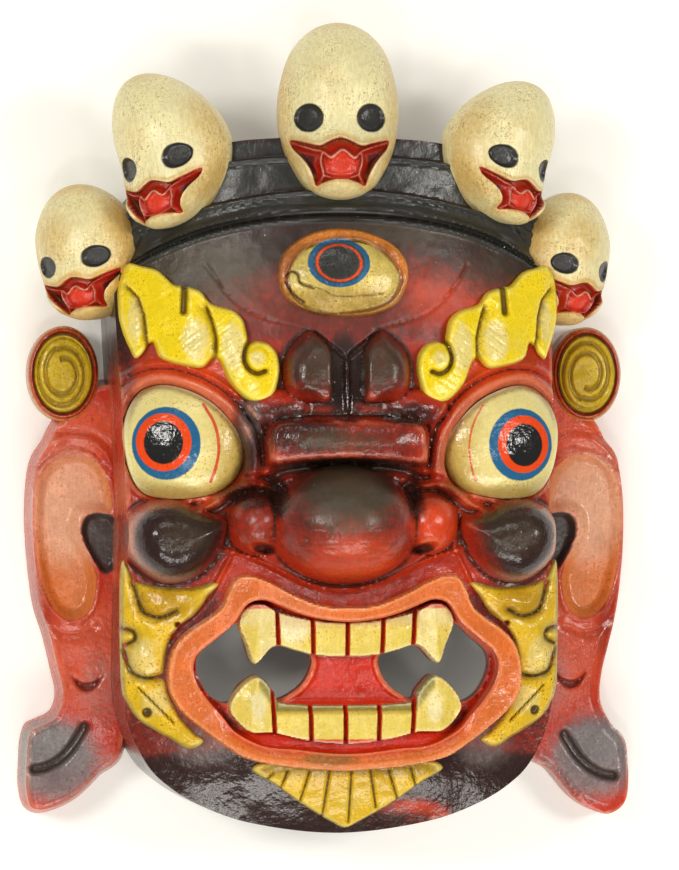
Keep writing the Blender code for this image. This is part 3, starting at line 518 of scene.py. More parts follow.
def crown_relief(x, y, z):
    """Bands of the crown above a double bead."""
    bead, first_step, second_step = crown_lines(x)
    level = BEAD_LEVELS[0]
    for step, low, high in ((first_step, *BEAD_LEVELS[:2]), (second_step, *BEAD_LEVELS[1:])):
        level = level + (high - low) * smooth_step(y, step - 0.5, step + 0.5)
    bands = level - (level - CROWN_EDGE_LEVEL) * np.minimum(np.abs(x) / HALF_FACE_WIDTH, 1.0) ** DOME_POWER
    for step in (first_step, second_step):
        bands = bands + ridge(y - step + 1.0, 1.2, 0.45) - groove(y - step + 2.6, 1.3, 0.5)
    for cut in CROWN_SIDE_CUTS:
        bands = bands - groove(line_distance(cut, np.abs(x), y), 1.8, 1.0)
    z = np.where(y > bead, bands, z)
    z = z + ridge(y - bead - 1.4, 3.4, 3.6)
    z = z - groove(y - bead + 1.3, 1.8, 1.4) * (np.abs(x) < 93)
    return z + ridge(y - bead + 3.0, 1.9, 1.3)


def frown_relief(x, y, z):
    """Two lumps with a crease between them, over the short bar that crosses the bridge of the nose."""
    lump = inside_distance(smooth_outline(FROWN_LUMP, 1.5), x, y)
    width = 2.6 + 7.0 * smooth_step(x, 9.0, 19.0)
    crest = 92.5 + bevel(lump, 13.0, width) + 3.0 * np.minimum(lump, 0.0)
    crest = crest - 3.6 * smooth_step(y, 24.0, 40.0) - 3.0 * smooth_step(-y, -19.0, -8.0)
    z = soft_max(z, np.where(lump > -3.0, crest, 0.0), 1.2)
    z = soft_max(z, dome(x, y, (29.0, 8.0), (15.0, 8.5), 90.0, 99.5), 2.5)
    z = z - groove(line_distance([(0, 29.2), (6.5, 34.6), (13.5, 40.2)], x, y), 2.6, 1.3)
    z = z + ridge(line_distance([(0.3, 30.0), (0.2, 7.0)], x, y), 1.7, 1.6)
    bar = inside_distance(smooth_outline(both_halves(BAR_HALF), 1.5), x, y, 5.0)
    round_bar = np.sqrt(np.clip(1.0 - ((y + 6.2) / 10.0) ** 2, 0.0, 1.0))
    round_bar = round_bar * (1.0 - 0.35 * smooth_step(x, 18.0, 32.0))
    swell = 101.0 + 7.2 * round_bar + bevel(bar, 1.0, 1.6) + 3.0 * np.minimum(bar, 0.0)
    z = soft_max(z, np.where(bar > -3.0, swell, 0.0), 0.8)
    z = z - groove(line_distance([(0, -17.6), (14, -17.6), (26, -19.4), (34, -22.5)], x, y), 6.0, 4.6)
    ledge = line_distance([(0, 4.8), (3.2, 3.2), (11, 3.4), (20, 3.6), (33, 1.8)], x, y)
    return z + ridge(ledge, 1.3, 1.5)


def nose_relief(x, y, z):
    """Bulb, lower flange, wings tucked under their rims, and nostrils."""
    z = soft_max(z, dome(x, y, (0.0, -50.5), (38.0, 18.6), 84.0, 98.0), 2.5)
    flange = [(52, -52.5), (44, -54.6), (36, -57.2), (28, -61.0), (17, -66.4), (7, -69.2), (0, -69.7)]
    z = z + ridge(line_distance(flange, x, y), 1.7, 1.7)
    z = soft_max(z, dome(x, y, (37.0, -41.0), (13.6, 14.6), 84.0, 104.0), 1.2)
    wing = [(61, -35.5), (56, -33.6), (51.5, -30), (45.5, -26.4), (39, -24.8), (33, -25.4), (28.6, -28)]
    rim = line_distance(wing, x, y)
    z = z - groove(rim - 3.4, 3.8, 2.2) * smooth_step(y, -42.0, -34.0)
    z = z + ridge(rim, 1.9, 2.6)
    nostril = oval(x, y - 0.25 * (x - 34.0), (34.6, -52.2), (5.0, 2.2))
    z = z - 4.6 * smooth_step(1.3 - nostril, 0.0, 0.9)
    bulb = dome(x, y, (0.0, -41.8), (33.0, 26.0), 88.0, 121.6)
    chisel = 0.22 * np.cos(y * 2.1 + 0.6 * ripple(x, y, 6.0, 43)) * cloud(x, y, (13.0, -52.0), (9.0, 10.0))
    return soft_max(z, bulb + chisel, 0.9)


def eye_relief(x, y, z):
    """Opening of the eye, and the folds of the lid round it."""
    opening = inside_distance(smooth_outline(EYE_HALF, 1.5), x, y)
    away = -opening
    upper = smooth_step(y + 0.35 * (70 - x), -34.0, -4.0)
    z = z + 4.2 * upper * np.exp(-((away - 3.6) / 3.0) ** 2)
    z = z - groove(away - 7.0, 1.8, 1.1) * upper
    z = z + ridge(away - 9.4, 1.8, 1.5) * upper
    z = z + ridge(away - 1.4, 1.3, 1.0) * (1.0 - upper)
    return z - 9.0 * smooth_step(opening, -0.5, 1.2)


def eyeball_height(x, y):
    """Ball that bulges out of the eye opening."""
    swell = np.sqrt(np.clip(1.0 - oval(x, y, (69.5, -7.0), (28.6, 27.0)) ** 2, 0.0, 1.0))
    return 79.5 - 0.17 * (x - 43.0) + 16.5 * swell


def cheek_relief(x, y, z):
    """Round ball of the cheek, which tapers towards the nose."""
    inside = inside_distance(smooth_outline(CHEEK_HALF, 1.5), x, y)
    ball = 77.0 + 24.0 * np.sqrt(1.0 - np.clip(1.0 - inside / 16.5, 0.0, 1.0) ** 2.2)
    ball = ball + np.minimum(inside, 0.0) * 4.0
    z = soft_max(z, ball, 1.2)
    fold = line_distance([(48.6, -44), (47.4, -51), (51.5, -60), (56.5, -69.5), (62, -77), (70, -84.5),
                          (76, -92)], x, y)
    return z + ridge(fold, 2.0, 1.5)


def mouth_relief(x, y, z):
    """Sunk floor behind the teeth, with the tongue between the two openings."""
    inner = inside_distance(smooth_outline(both_halves(LIP_INNER_HALF), 1.5), x, y)
    sunk = z - 5.6 + 3.4 * smooth_step(-y, 126.0, 136.0)
    tongue = (np.abs(x) < 34) & (y > -121) & (y < -98)
    sunk = sunk - 2.5 * smooth_step(y, -121.0, -117.0) * smooth_step(-y, 97.0, 99.0)
    hole = inside_distance(smooth_outline(MOUTH_HOLE_HALF, 1.5), np.abs(x), y, 8.0)
    sunk = sunk + ridge(hole + 1.5, 2.0, 1.3) * tongue
    inside = smooth_step(inner, -0.6, 1.4)
    return z * (1.0 - inside) + sunk * inside


def face_height(x, y, detail=True):
    """Height of the head over the rim, without what is set on it."""
    z = plain_face(x, y)
    z = crown_relief(x, y, z)
    crease = [(56.8, 70), (48, 57.2), (37.2, 48.4), (22.3, 43.7), (14.1, 41.6)]
    z = z - groove(line_distance(crease, np.abs(x + 1.5), y), 1.3, 0.55)
    z = frown_relief(np.abs(x - FROWN_CENTRE), y, z)
    z = eye_relief(np.abs(x - EYE_CENTRE), y, z)
    z = cheek_relief(np.abs(x - EYE_CENTRE), y, z)
    z = nose_relief(np.abs(x - NOSE_CENTRE), y, z)
    z = mouth_relief(x - MOUTH_CENTRE, y, z)
    if detail:
        z = z + 0.32 * ripple(x, y, 9.0, 1) + 0.12 * ripple(x, y, 3.5, 2)
    return z


def head_paint(x, y, z):
    """Where each paint of the head lies."""
    bead = crown_lines(x)[0]
    below = bead - y
    smoke = 0.97 * (1.0 - smooth_step(below + 0.11 * x + 6.0 * ripple(x, y, 16.0, 3), 10.0, 42.0))
    smoke = np.maximum(smoke, clouds(x, y, SPRAYED_BLACK))
    jaw = smooth_step(-y - 0.10 * np.abs(x), 124.0, 138.0)
    smoke = np.maximum(smoke, 0.97 * jaw * (1.0 - cloud(x, y, (30, -168), (20, 8), 0.9)))
    smoke = np.maximum(smoke, 0.6 * smooth_step(-y, 60.0, 74.0) * smooth_step(np.abs(x - 1.0), 50.0, 58.0))
    nostril = oval(np.abs(x - NOSE_CENTRE), y, (34.6, -52.2), (5.0, 2.4))
    smoke = np.maximum(smoke, 0.75 * (1.0 - smooth_step(nostril, 0.6, 1.4)))
    side = np.abs(x - EYE_CENTRE)
    cheek = inside_distance(smooth_outline(CHEEK_HALF, 1.5), side, y)
    front = smooth_step(z, 56.0, 72.0)
    ball = front * np.where(x < 0, 1.0 - 0.45 * smooth_step(x, -58.0, -47.0),
                            0.3 + 0.7 * smooth_step(x + 0.5 * y, 28.0, 44.0))
    smoke = np.maximum(smoke, ball * smooth_step(cheek, 0.5, 5.0))
    forehead = 0.55 * smooth_step(y, 30.0, 40.0) * (1.0 - cloud(x, y, (46, 58), (22, 18), 0.9))
    smoke = np.maximum(smoke, forehead)
    # A painted sheen of grey rings the outer side of each black cheek
    ash = 0.62 * front * np.exp(-((cheek - 2.2) / 2.6) ** 2) * smooth_step(side - 0.5 * y, 82.0, 106.0)
    ash = np.maximum(ash, clouds(x, y, GREY_SHEEN_ON_BLACK))
    lip = inside_distance(smooth_outline(both_halves(LIP_INNER_HALF, MOUTH_CENTRE), 1.5), x, y)
    smoke = smoke * (1.0 - smooth_step(lip, -1.5, 0.5))
    calm = np.maximum(clouds(x, y, DULL_VARNISH), 0.45 * smooth_step(y - bead, -4.0, 0.0))
    edge = inside_distance(head_outline(3.0), x, y, 6.0)
    return {"smoke": smoke, "warm": clouds(x, y, RUBBED_RED_AND_LIT_WALL), "ash": ash, "olive": clouds(x, y, OLIVE_BROWN_AND_SHEEN),
            "calm": calm, "gum": lip,
            "crown": np.minimum(y - bead + 4.4, np.where(y > 100.0, edge - 1.6, 9.0))}


# Solids


def placed(points):
    """Points in drawn millimetres as places in the frame, in metres."""
    return (np.asarray(points, float) - DRAWN_LOW) * SCALE + np.array(LOW)


def outline_normals(outline):
    """Outward unit normals along a closed outline that runs clockwise."""
    tangent = np.roll(outline, -1, axis=0) - np.roll(outline, 1, axis=0)
    normal = np.column_stack([-tangent[:, 1], tangent[:, 0]])
    return normal / (np.linalg.norm(normal, axis=1)[:, None] + 1e-9)


def filling_points(outline, spacing, edges=(), step=0.35, holes=()):
    """Points that fill an outline: rows half a step apart, and a row on each side of every carved edge."""
    low = outline.min(axis=0)
    high = outline.max(axis=0)
    rows = []
    for row, y in enumerate(np.arange(low[1], high[1], spacing * 0.87)):
        start = low[0] + (spacing / 2.0 if row % 2 else 0.0)
        x = np.arange(start, high[0], spacing)
        rows.append(np.column_stack([x, np.full(len(x), y)]))
    points = np.vstack(rows)
    for edge in edges:
        away = np.abs(inside_distance(edge, points[:, 0], points[:, 1], 4.0))
        added = [edge + outline_normals(edge) * offset for offset in (-step, step)]
        points = np.vstack([points[away > step + spacing * 0.4]] + added)
    kept = inside_distance(outline, points[:, 0], points[:, 1], 4.0) > spacing * 0.55
    for hole in holes:
        kept &= inside_distance(hole, points[:, 0], points[:, 1], 4.0) < -spacing * 0.55
    return points[kept]


def triangles_between(outline, holes, filling):
    """Triangles over the area inside an outline and outside its holes."""
    points = [outline] + list(holes) + [filling]
    flat = np.vstack(points)
    start = len(outline)
    edges = []
    for hole in holes:
        count = len(hole)
        edges += [(start + index, start + (index + 1) % count) for index in range(count)]
        start += count
    vertices, _, faces, _, _, _ = delaunay_2d_cdt([Vector(point) for point in flat], edges,
                                                  [list(range(len(outline)))], 1, 1e-7)
    if len(vertices) != len(flat):
        raise RuntimeError("two points of an outline fall together")
    flat = np.array([tuple(vertex) for vertex in vertices])
    faces = np.array(faces)
    middles = flat[faces].mean(axis=1)
    for hole in holes:
        outside = inside_distance(hole, middles[:, 0], middles[:, 1], 4.0) < 0
        faces = faces[outside]
        middles = middles[outside]
    return flat, faces


def bridge(first, second):
    """Quads between two closed rows of the same length."""
    first = np.asarray(first)
    second = np.asarray(second)
    return np.column_stack([first, np.roll(first, -1), np.roll(second, -1), second])


def fan(middle, ring):
    """Triangles from one point to a closed row."""
    return np.column_stack([np.full(len(ring), middle), ring, np.roll(ring, -1)])


def wall_rows(top, bottom, shares, paint):
    """Places and paint values of the rows that lead from the top of a wall to its bottom."""
    for share in shares:
        places = top + (bottom - top) * share
        yield places, paint(*places.T)


class Shell:
    """Vertices, faces and paint values of one piece, gathered part by part."""

    def __init__(self):
        self.places = []
        self.faces = []
        self.slots = []
        self.paint = {}
        self.count = 0

    def add_points(self, places, paint):
        """Store points with their paint values and give back their numbers."""
        numbers = np.arange(self.count, self.count + len(places))
        for name in set(self.paint) | set(paint):
            values = paint.get(name, 0.0)
            held = self.paint.setdefault(name, [np.zeros(self.count)])
            held.append(np.broadcast_to(np.asarray(values, float), (len(places),)))
        self.places.append(np.asarray(places, float))
        self.count += len(places)
        return numbers

    def add_faces(self, faces, slot=0):
        """Store faces of one paint."""
        faces = np.asarray(faces)
        self.faces += faces.tolist()
        self.slots += [slot] * len(faces)

    def add_rows(self, ring, rows, slot=0):
        """Join a closed row to the rows of places and paint values that follow it, and give back the last."""
        for places, paint in rows:
            following = self.add_points(places, paint)
            self.add_faces(bridge(ring, following), slot)
            ring = following
        return ring

    def make(self, name, materials):
        """Turn what was gathered into an object that rides on the mask."""
        mesh = bpy.data.meshes.new(name)
        mesh.from_pydata(placed(np.vstack(self.places)).tolist(), [], self.faces)
        for material in materials:
            mesh.materials.append(material)
        mesh.polygons.foreach_set("material_index", self.slots)
        for label, values in self.paint.items():
            attribute = mesh.attributes.new(label, "FLOAT", "POINT")
            attribute.data.foreach_set("value", np.concatenate(values).astype(np.float32))
        turned = bmesh.new()
        turned.from_mesh(mesh)
        bmesh.ops.recalc_face_normals(turned, faces=turned.faces)
        turned.to_mesh(mesh)
        turned.free()
        add_relief_values(mesh)
        mesh.polygons.foreach_set("use_smooth", [True] * len(mesh.polygons))
        mesh.set_sharp_from_angle(angle=SHARP_ANGLE)
        piece = bpy.data.objects.new(name, mesh)
        bpy.context.scene.collection.objects.link(piece)
        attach(piece, "root")
        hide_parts(NODE)


def add_relief_values(mesh, rounds=14):
    """Give each point how far it lies in a hollow or stands on a ridge, in millimetres."""
    count = len(mesh.vertices)
    places = np.empty(count * 3)
    mesh.vertices.foreach_get("co", places)
    places = places.reshape(count, 3) / MILLIMETRE
    normals = np.empty(count * 3)
    mesh.vertices.foreach_get("normal", normals)
    normals = normals.reshape(count, 3)
    ends = np.empty(len(mesh.edges) * 2, int)
    mesh.edges.foreach_get("vertices", ends)
    a, b = ends.reshape(-1, 2).T
    degree = np.bincount(a, minlength=count) + np.bincount(b, minlength=count)
    smooth = places.copy()
    for _ in range(rounds):
        total = np.zeros_like(smooth)
        for axis in range(3):
            total[:, axis] = (np.bincount(a, smooth[b, axis], count) + np.bincount(b, smooth[a, axis], count))
        smooth = 0.4 * smooth + 0.6 * total / degree[:, None]
    depth = np.sum((smooth - places) * normals, axis=1)
    # The hollow value darkens the paint as grime and painted shade; the ridge value lightens it as wear and a
    # painted highlight
    for label, values in (("hollow_grime_and_shade", depth), ("ridge_wear_and_highlight", -depth)):
        attribute = mesh.attributes.new(label, "FLOAT", "POINT")
        attribute.data.foreach_set("value", np.clip(values, 0.0, 3.0).astype(np.float32))


def carve(name, outline, height, floor, material, paint, spacing, edges=(), flare=0.0, rows=4):
    """Closed piece with a carved top, sides down to its floor, and a plain underside."""
    flat, faces = triangles_between(outline, (), filling_points(outline, spacing, edges))
    count = len(outline)
    x, y = flat.T
    z = height(x, y)
    shell = Shell()
    top = shell.add_points(np.column_stack([x, y, z]), paint(x, y, z))
    shell.add_faces(faces)
    back = outline + outline_normals(outline) * flare
    base = np.column_stack([back, floor(*back.T)])
    shares = [row / rows for row in range(1, rows + 1)]
    ring = shell.add_rows(top[:count], wall_rows(np.column_stack([outline, z[:count]]), base, shares, paint))
    under, faces = triangles_between(back, (), filling_points(back, 5.0))
    under = under[count:]
    rest = shell.add_points(np.column_stack([under, floor(*under.T)]), {})
    shell.add_faces(np.concatenate([ring, rest])[faces])
    shell.make(name, [material])


# Paint


def add_node(tree, kind, settings=None, links=None):
    """Node with its settings, and links into its inputs."""
    node = tree.nodes.new(kind)
    for key, value in (settings or {}).items():
        if isinstance(key, int) or key in node.inputs:
            node.inputs[key].default_value = value
        else:
            setattr(node, key, value)
    for key, source in (links or {}).items():
        tree.links.new(source, node.inputs[key])
    return node


def paint_material(name, base, layers, gloss=0.2, hollow_grime_and_shade=("#2A1A10", 0.3, 1.3, 0.8),
                   ridge_wear_and_highlight=("#E88E66", 0.42, 1.2, 0.5), fleck=("#3A2A24", 0.35), strokes=0.12, mottle=0.2,
                   specks=0.6, cracks=0.0):
    """Brushed and sprayed enamel on carved wood under varnish.

    Enamel gives flat strong colour, and spray gives soft edges that break into dots. The varnish gives a
    wet gloss, which the tool marks and brush marks below it break into small glints.

    Each layer is a value name, where it starts, where it is full, its colour, strength and wobble. Grime with
    painted shade in the hollows, and wear with a painted highlight on the ridges, are each a colour, where it
    starts, where it is full, and its strength.
    """
    material = bpy.data.materials.new(name)
    material.use_nodes = True
    tree = material.node_tree
    shader = tree.nodes["Principled BSDF"]
    place = add_node(tree, "ShaderNodeTexCoord").outputs["Object"]
    along = add_node(tree, "ShaderNodeMapping", {"Scale": (1.0, 0.2, 1.0)}, {"Vector": place}).outputs[0]
    # Size in millimetres, detail, roughness and direction of each noise. Spray dots and brush hairs are finer
    # than can be seen from the camera, so they are drawn coarser
    hand, grain, patches, hairs, waves = (
        add_node(tree, "ShaderNodeTexNoise", {"Scale": 1.0 / (size * MILLIMETRE), "Detail": detail,
                                              "Roughness": roughness}, {"Vector": direction}).outputs["Fac"]
        for size, detail, roughness, direction in ((2.6, 4.0, 0.65, place), (0.9, 2.0, 0.5, place),
                                                   (14.0, 4.0, 0.62, place), (1.1, 2.0, 0.5, along),
                                                   (2.4, 2.5, 0.5, place)))
    paint = add_node(tree, "ShaderNodeRGB")
    paint.outputs[0].default_value = base
    paint = paint.outputs[0]
    for value, start, full, code, strength, wobble in layers:
        amount = add_node(tree, "ShaderNodeAttribute", {"attribute_name": value}).outputs["Fac"]
        amount = add_node(tree, "ShaderNodeMath", {"operation": "MULTIPLY_ADD", 1: wobble},
                          {0: hand, 2: amount}).outputs[0]
        amount = add_node(tree, "ShaderNodeMapRange",
                          {"interpolation_type": "SMOOTHSTEP", "From Min": start + wobble / 2,
                           "From Max": full + wobble / 2, "To Max": strength}, {"Value": amount}).outputs[0]
        top = linear(code) if isinstance(code, str) else code
        paint = add_node(tree, "ShaderNodeMix", {"data_type": "RGBA", 7: top},
                         {0: amount, 6: paint}).outputs[2]
    shade = add_node(tree, "ShaderNodeMapRange",
                     {"From Min": 0.3, "From Max": 0.72, "To Min": 1.0 - mottle,
                      "To Max": 1.0 + mottle * 0.4}, {"Value": patches}).outputs[0]
    stroke = add_node(tree, "ShaderNodeMapRange",
                      {"From Min": 0.3, "From Max": 0.7, "To Min": 1.0 - strokes,
                       "To Max": 1.0 + strokes * 0.5}, {"Value": hairs}).outputs[0]
    shade = add_node(tree, "ShaderNodeMath", {"operation": "MULTIPLY"}, {0: shade, 1: stroke}).outputs[0]
    paint = add_node(tree, "ShaderNodeMix", {"data_type": "RGBA", "blend_type": "MULTIPLY", 0: 1.0},
                     {6: paint, 7: shade}).outputs[2]
    code, strength = fleck
    dots = add_node(tree, "ShaderNodeMapRange", {"From Min": 0.56, "From Max": 0.7, "To Max": strength},
                    {"Value": grain}).outputs[0]
    where = add_node(tree, "ShaderNodeMapRange", {"From Min": 0.42, "From Max": 0.62, "To Min": 0.15},
                     {"Value": patches}).outputs[0]
    dots = add_node(tree, "ShaderNodeMath", {"operation": "MULTIPLY"}, {0: dots, 1: where}).outputs[0]
    paint = add_node(tree, "ShaderNodeMix", {"data_type": "RGBA", "blend_type": "MULTIPLY", 7: linear(code)},
                     {0: dots, 6: paint}).outputs[2]
    if cracks:
        # A crack in old paint is a hair wide, so it is drawn broader: it follows one level of a noise
        contour = add_node(tree, "ShaderNodeTexNoise", {"Scale": 1.0 / (6.0 * MILLIMETRE), "Detail": 3.0,
                                                        "Roughness": 0.6}, {"Vector": along}).outputs["Fac"]
        contour = add_node(tree, "ShaderNodeMath", {"operation": "PINGPONG", 1: 0.05},
                           {0: contour}).outputs[0]
        contour = add_node(tree, "ShaderNodeMapRange", {"From Max": 0.006, "To Min": cracks, "To Max": 0.0},
                           {"Value": contour}).outputs[0]
        contour = add_node(tree, "ShaderNodeMath", {"operation": "MULTIPLY"},
                           {0: contour, 1: where}).outputs[0]
        paint = add_node(tree, "ShaderNodeMix",
                         {"data_type": "RGBA", "blend_type": "MULTIPLY", 7: linear("#5A4420")},
                         {0: contour, 6: paint}).outputs[2]
    for value, (code, start, full, strength) in (("hollow_grime_and_shade", hollow_grime_and_shade), ("ridge_wear_and_highlight", ridge_wear_and_highlight)):
        amount = add_node(tree, "ShaderNodeAttribute", {"attribute_name": value}).outputs["Fac"]
        amount = add_node(tree, "ShaderNodeMath", {"operation": "MULTIPLY_ADD", 1: 0.8},
                          {0: hand, 2: amount}).outputs[0]
        amount = add_node(tree, "ShaderNodeMapRange",
                          {"interpolation_type": "SMOOTHSTEP", "From Min": start + 0.4,
                           "From Max": full + 0.4, "To Max": strength}, {"Value": amount}).outputs[0]
        if value == "ridge_wear_and_highlight":
            # Rubbing, and the painted highlight on the ridges, show on the colours and not on the thick black
            light = add_node(tree, "ShaderNodeRGBToBW", {}, {0: paint}).outputs[0]
            light = add_node(tree, "ShaderNodeMapRange", {"From Min": 0.04, "From Max": 0.12},
                             {"Value": light}).outputs[0]
            amount = add_node(tree, "ShaderNodeMath", {"operation": "MULTIPLY"},
                              {0: amount, 1: light}).outputs[0]
        paint = add_node(tree, "ShaderNodeMix", {"data_type": "RGBA", 7: linear(code)},
                         {0: amount, 6: paint}).outputs[2]
    dust = add_node(tree, "ShaderNodeTexVoronoi", {"Scale": 1.0 / (8.0 * MILLIMETRE)}, {"Vector": place})
    dust = add_node(tree, "ShaderNodeMapRange",
                    {"From Min": 0.025, "From Max": 0.055, "To Min": specks, "To Max": 0.0},
                    {"Value": dust.outputs["Distance"]}).outputs[0]
    dust = add_node(tree, "ShaderNodeMath", {"operation": "MULTIPLY"}, {0: dust, 1: where}).outputs[0]
    paint = add_node(tree, "ShaderNodeMix", {"data_type": "RGBA", 7: linear("#E6DDD0")},
                     {0: dust, 6: paint}).outputs[2]
    tree.links.new(paint, shader.inputs["Base Color"])
    rough = add_node(tree, "ShaderNodeMapRange", {"From Min": 0.3, "From Max": 0.7, "To Min": gloss,
                                                  "To Max": gloss + 0.12}, {"Value": patches}).outputs[0]
    # Black was sprayed last and thick, so it stays wetter than the rubbed colours
    wet = add_node(tree, "ShaderNodeRGBToBW", {}, {0: paint}).outputs[0]
    wet = add_node(tree, "ShaderNodeMapRange", {"From Min": 0.012, "From Max": 0.035, "To Min": 0.75},
                   {"Value": wet}).outputs[0]
    rough = add_node(tree, "ShaderNodeMath", {"operation": "MULTIPLY"}, {0: rough, 1: wet}).outputs[0]
    calm = add_node(tree, "ShaderNodeAttribute", {"attribute_name": "calm"}).outputs["Fac"]
    rough = add_node(tree, "ShaderNodeMath", {"operation": "MULTIPLY_ADD", 1: 0.22},
                     {0: calm, 2: rough}).outputs[0]
    tree.links.new(rough, shader.inputs["Roughness"])
    height = waves
    for finer, share in ((grain, 0.2), (hairs, 0.25)):
        height = add_node(tree, "ShaderNodeMath", {"operation": "MULTIPLY_ADD", 1: share},
                          {0: finer, 2: height}).outputs[0]
    strength = add_node(tree, "ShaderNodeMapRange", {"To Min": 0.7, "To Max": 0.22},
                        {"Value": calm}).outputs[0]
    relief = add_node(tree, "ShaderNodeBump", {"Distance": 0.4 * MILLIMETRE},
                      {"Height": height, "Strength": strength})
    tree.links.new(relief.outputs[0], shader.inputs["Normal"])
    shader.inputs["IOR"].default_value = 1.5
    return material


def settings():
    """Sizes and colours of the scene."""
    return bpy.context.scene.mask_sizes, bpy.context.scene.mask_colours


def drawn(metres):
    """A size in drawn millimetres."""
    return metres / MILLIMETRE


def head_outline(spacing):
    """Outline of the head, clockwise."""
    return whole_outline(HEAD_HALF, spacing)


def hollow_outline(spacing):
    """Outline of the hollow where it meets the rim."""
    outline = head_outline(spacing)
    return outline - outline_normals(outline) * RIM_WIDTH


def hollow_height(x, y):
    """Height of the hollow's ceiling over the rim: a ball of the wall's radius below the face."""
    wall = drawn(settings()[0].wall)
    head = head_outline(4.0)
    ceiling = np.full(np.shape(x), np.inf)
    for dx in np.linspace(-wall, wall, 7):
        for dy in np.linspace(-wall, wall, 7):
            away = math.hypot(dx, dy)
            if away > wall:
                continue
            surface = face_height(x + dx, y + dy, False)
            surface = np.where(inside_distance(head, x + dx, y + dy, 4.0) > 0, surface, np.inf)
            ceiling = np.minimum(ceiling, surface - math.sqrt(wall ** 2 - away ** 2))
    return ceiling


class MaskHead(bpy.types.Operator):
    """Carve the head with its hollow and the two openings of the mouth."""
    bl_idname = "wrathful_mask.head"
    bl_label = "Head"

    def execute(self, context):
        sizes, paints = settings()
        spacing = drawn(sizes.spacing)
        outline = head_outline(spacing)
        holes = [side_outline(MOUTH_HOLE_HALF, 1.0, side, MOUTH_CENTRE) for side in (-1.0, 1.0)]
        edges = [whole_outline(LIP_INNER_HALF, 1.0, MOUTH_CENTRE)]
        edges += [side_outline(EYE_HALF, 1.0, side, EYE_CENTRE) for side in (-1.0, 1.0)]
        x = np.linspace(-90.0, 90.0, 200)
        for y in crown_lines(x):
            below, above = (np.column_stack([x, y + offset]) for offset in (-0.1, 0.1))
            edges.append(clockwise(np.vstack([below, above[::-1]])))
        filling = filling_points(outline, spacing, edges, 0.5, holes)
        flat, faces = triangles_between(outline, holes, filling)
        x, y = flat.T
        z = face_height(x, y)
        shell = Shell()
        top = shell.add_points(np.column_stack([x, y, z]), head_paint(x, y, z))
        shell.add_faces(faces)

        # Sides down to the rim
        count = len(outline)
        back = outline + outline_normals(outline) * SIDE_FLARE
        wall = wall_rows(np.column_stack([outline, z[:count]]), np.column_stack([back, np.zeros(count)]),
                         (0.04, 0.15, 0.3, 0.45, 0.6, 0.8, 1.0), head_paint)
        ring = shell.add_rows(top[:count], wall)
        rim_inner = outline - outline_normals(outline) * RIM_WIDTH
        rim_inner = clockwise(smooth_outline(rim_inner[::4], 3.0))
        _, faces = triangles_between(back, [rim_inner], np.empty((0, 2)))
        inner = shell.add_points(np.column_stack([rim_inner, np.zeros(len(rim_inner))]), {})
        numbers = np.concatenate([ring, inner])
        shell.add_faces(numbers[faces], 1)

        ceiling = self.hollow(shell, rim_inner, inner, holes)
        self.openings(shell, holes, (top[count:], z[count:]), ceiling)
        skin = paint_material("sprayed_red_enamel", paints.red[:], [
            ("warm", 0.0, 1.0, paints.orange_red[:], 0.9, 0.25),
            ("gum", -0.6, 0.4, paints.gums[:], 1.0, 0.4),
            ("smoke", 0.05, 0.95, paints.black[:], 0.97, 0.7),
            ("olive", 0.1, 1.0, "#50442F", 0.8, 0.6),
            ("ash", 0.05, 0.95, "#8B7C78", 0.75, 0.7),
            ("crown", -0.4, 0.4, paints.crown[:], 1.0, 0.5)])
        shell.make("carved_head", [skin, wood_material()])
        return {"FINISHED"}

    def hollow(self, shell, rim, ring, holes):
        """Gouged ceiling and its walls.

        Gives back the numbers and heights of the ceiling's points, those round the openings first.
        """
        flat, faces = triangles_between(rim, holes, filling_points(rim, 3.4, holes=holes))
        x, y = flat.T
        z = hollow_height(x, y) + 0.5 * ripple(x, y, 15.0, 5)
        ceiling = shell.add_points(np.column_stack([x, y, z]), {})
        shell.add_faces(ceiling[faces], 1)
        count = len(rim)
        wall = [(np.column_stack([rim, z[:count] * share]), {}) for share in (0.33, 0.67)]
        shell.add_faces(bridge(shell.add_rows(ring, wall, 1), ceiling[:count]), 1)
        return ceiling[count:], z[count:]

    def openings(self, shell, holes, front, rear):
        """Walls of the mouth's openings, from the face through to the hollow.

        Front and rear hold the numbers and heights of points, those round the openings first.
        """
        start = 0
        for hole in holes:
            chosen = slice(start, start + len(hole))
            high = front[1][chosen]
            low = rear[1][chosen]
            # The walls darken towards the hollow as painted shade inside the openings
            wall = [(np.column_stack([hole, high + (low - high) * share]),
                     {"gum": 9.0, "smoke": 0.25 + 0.7 * share, "crown": -9.0}) for share in (0.3, 0.65)]
            ring = shell.add_rows(front[0][chosen], wall)
            shell.add_faces(bridge(ring, rear[0][chosen]))
            start += len(hole)


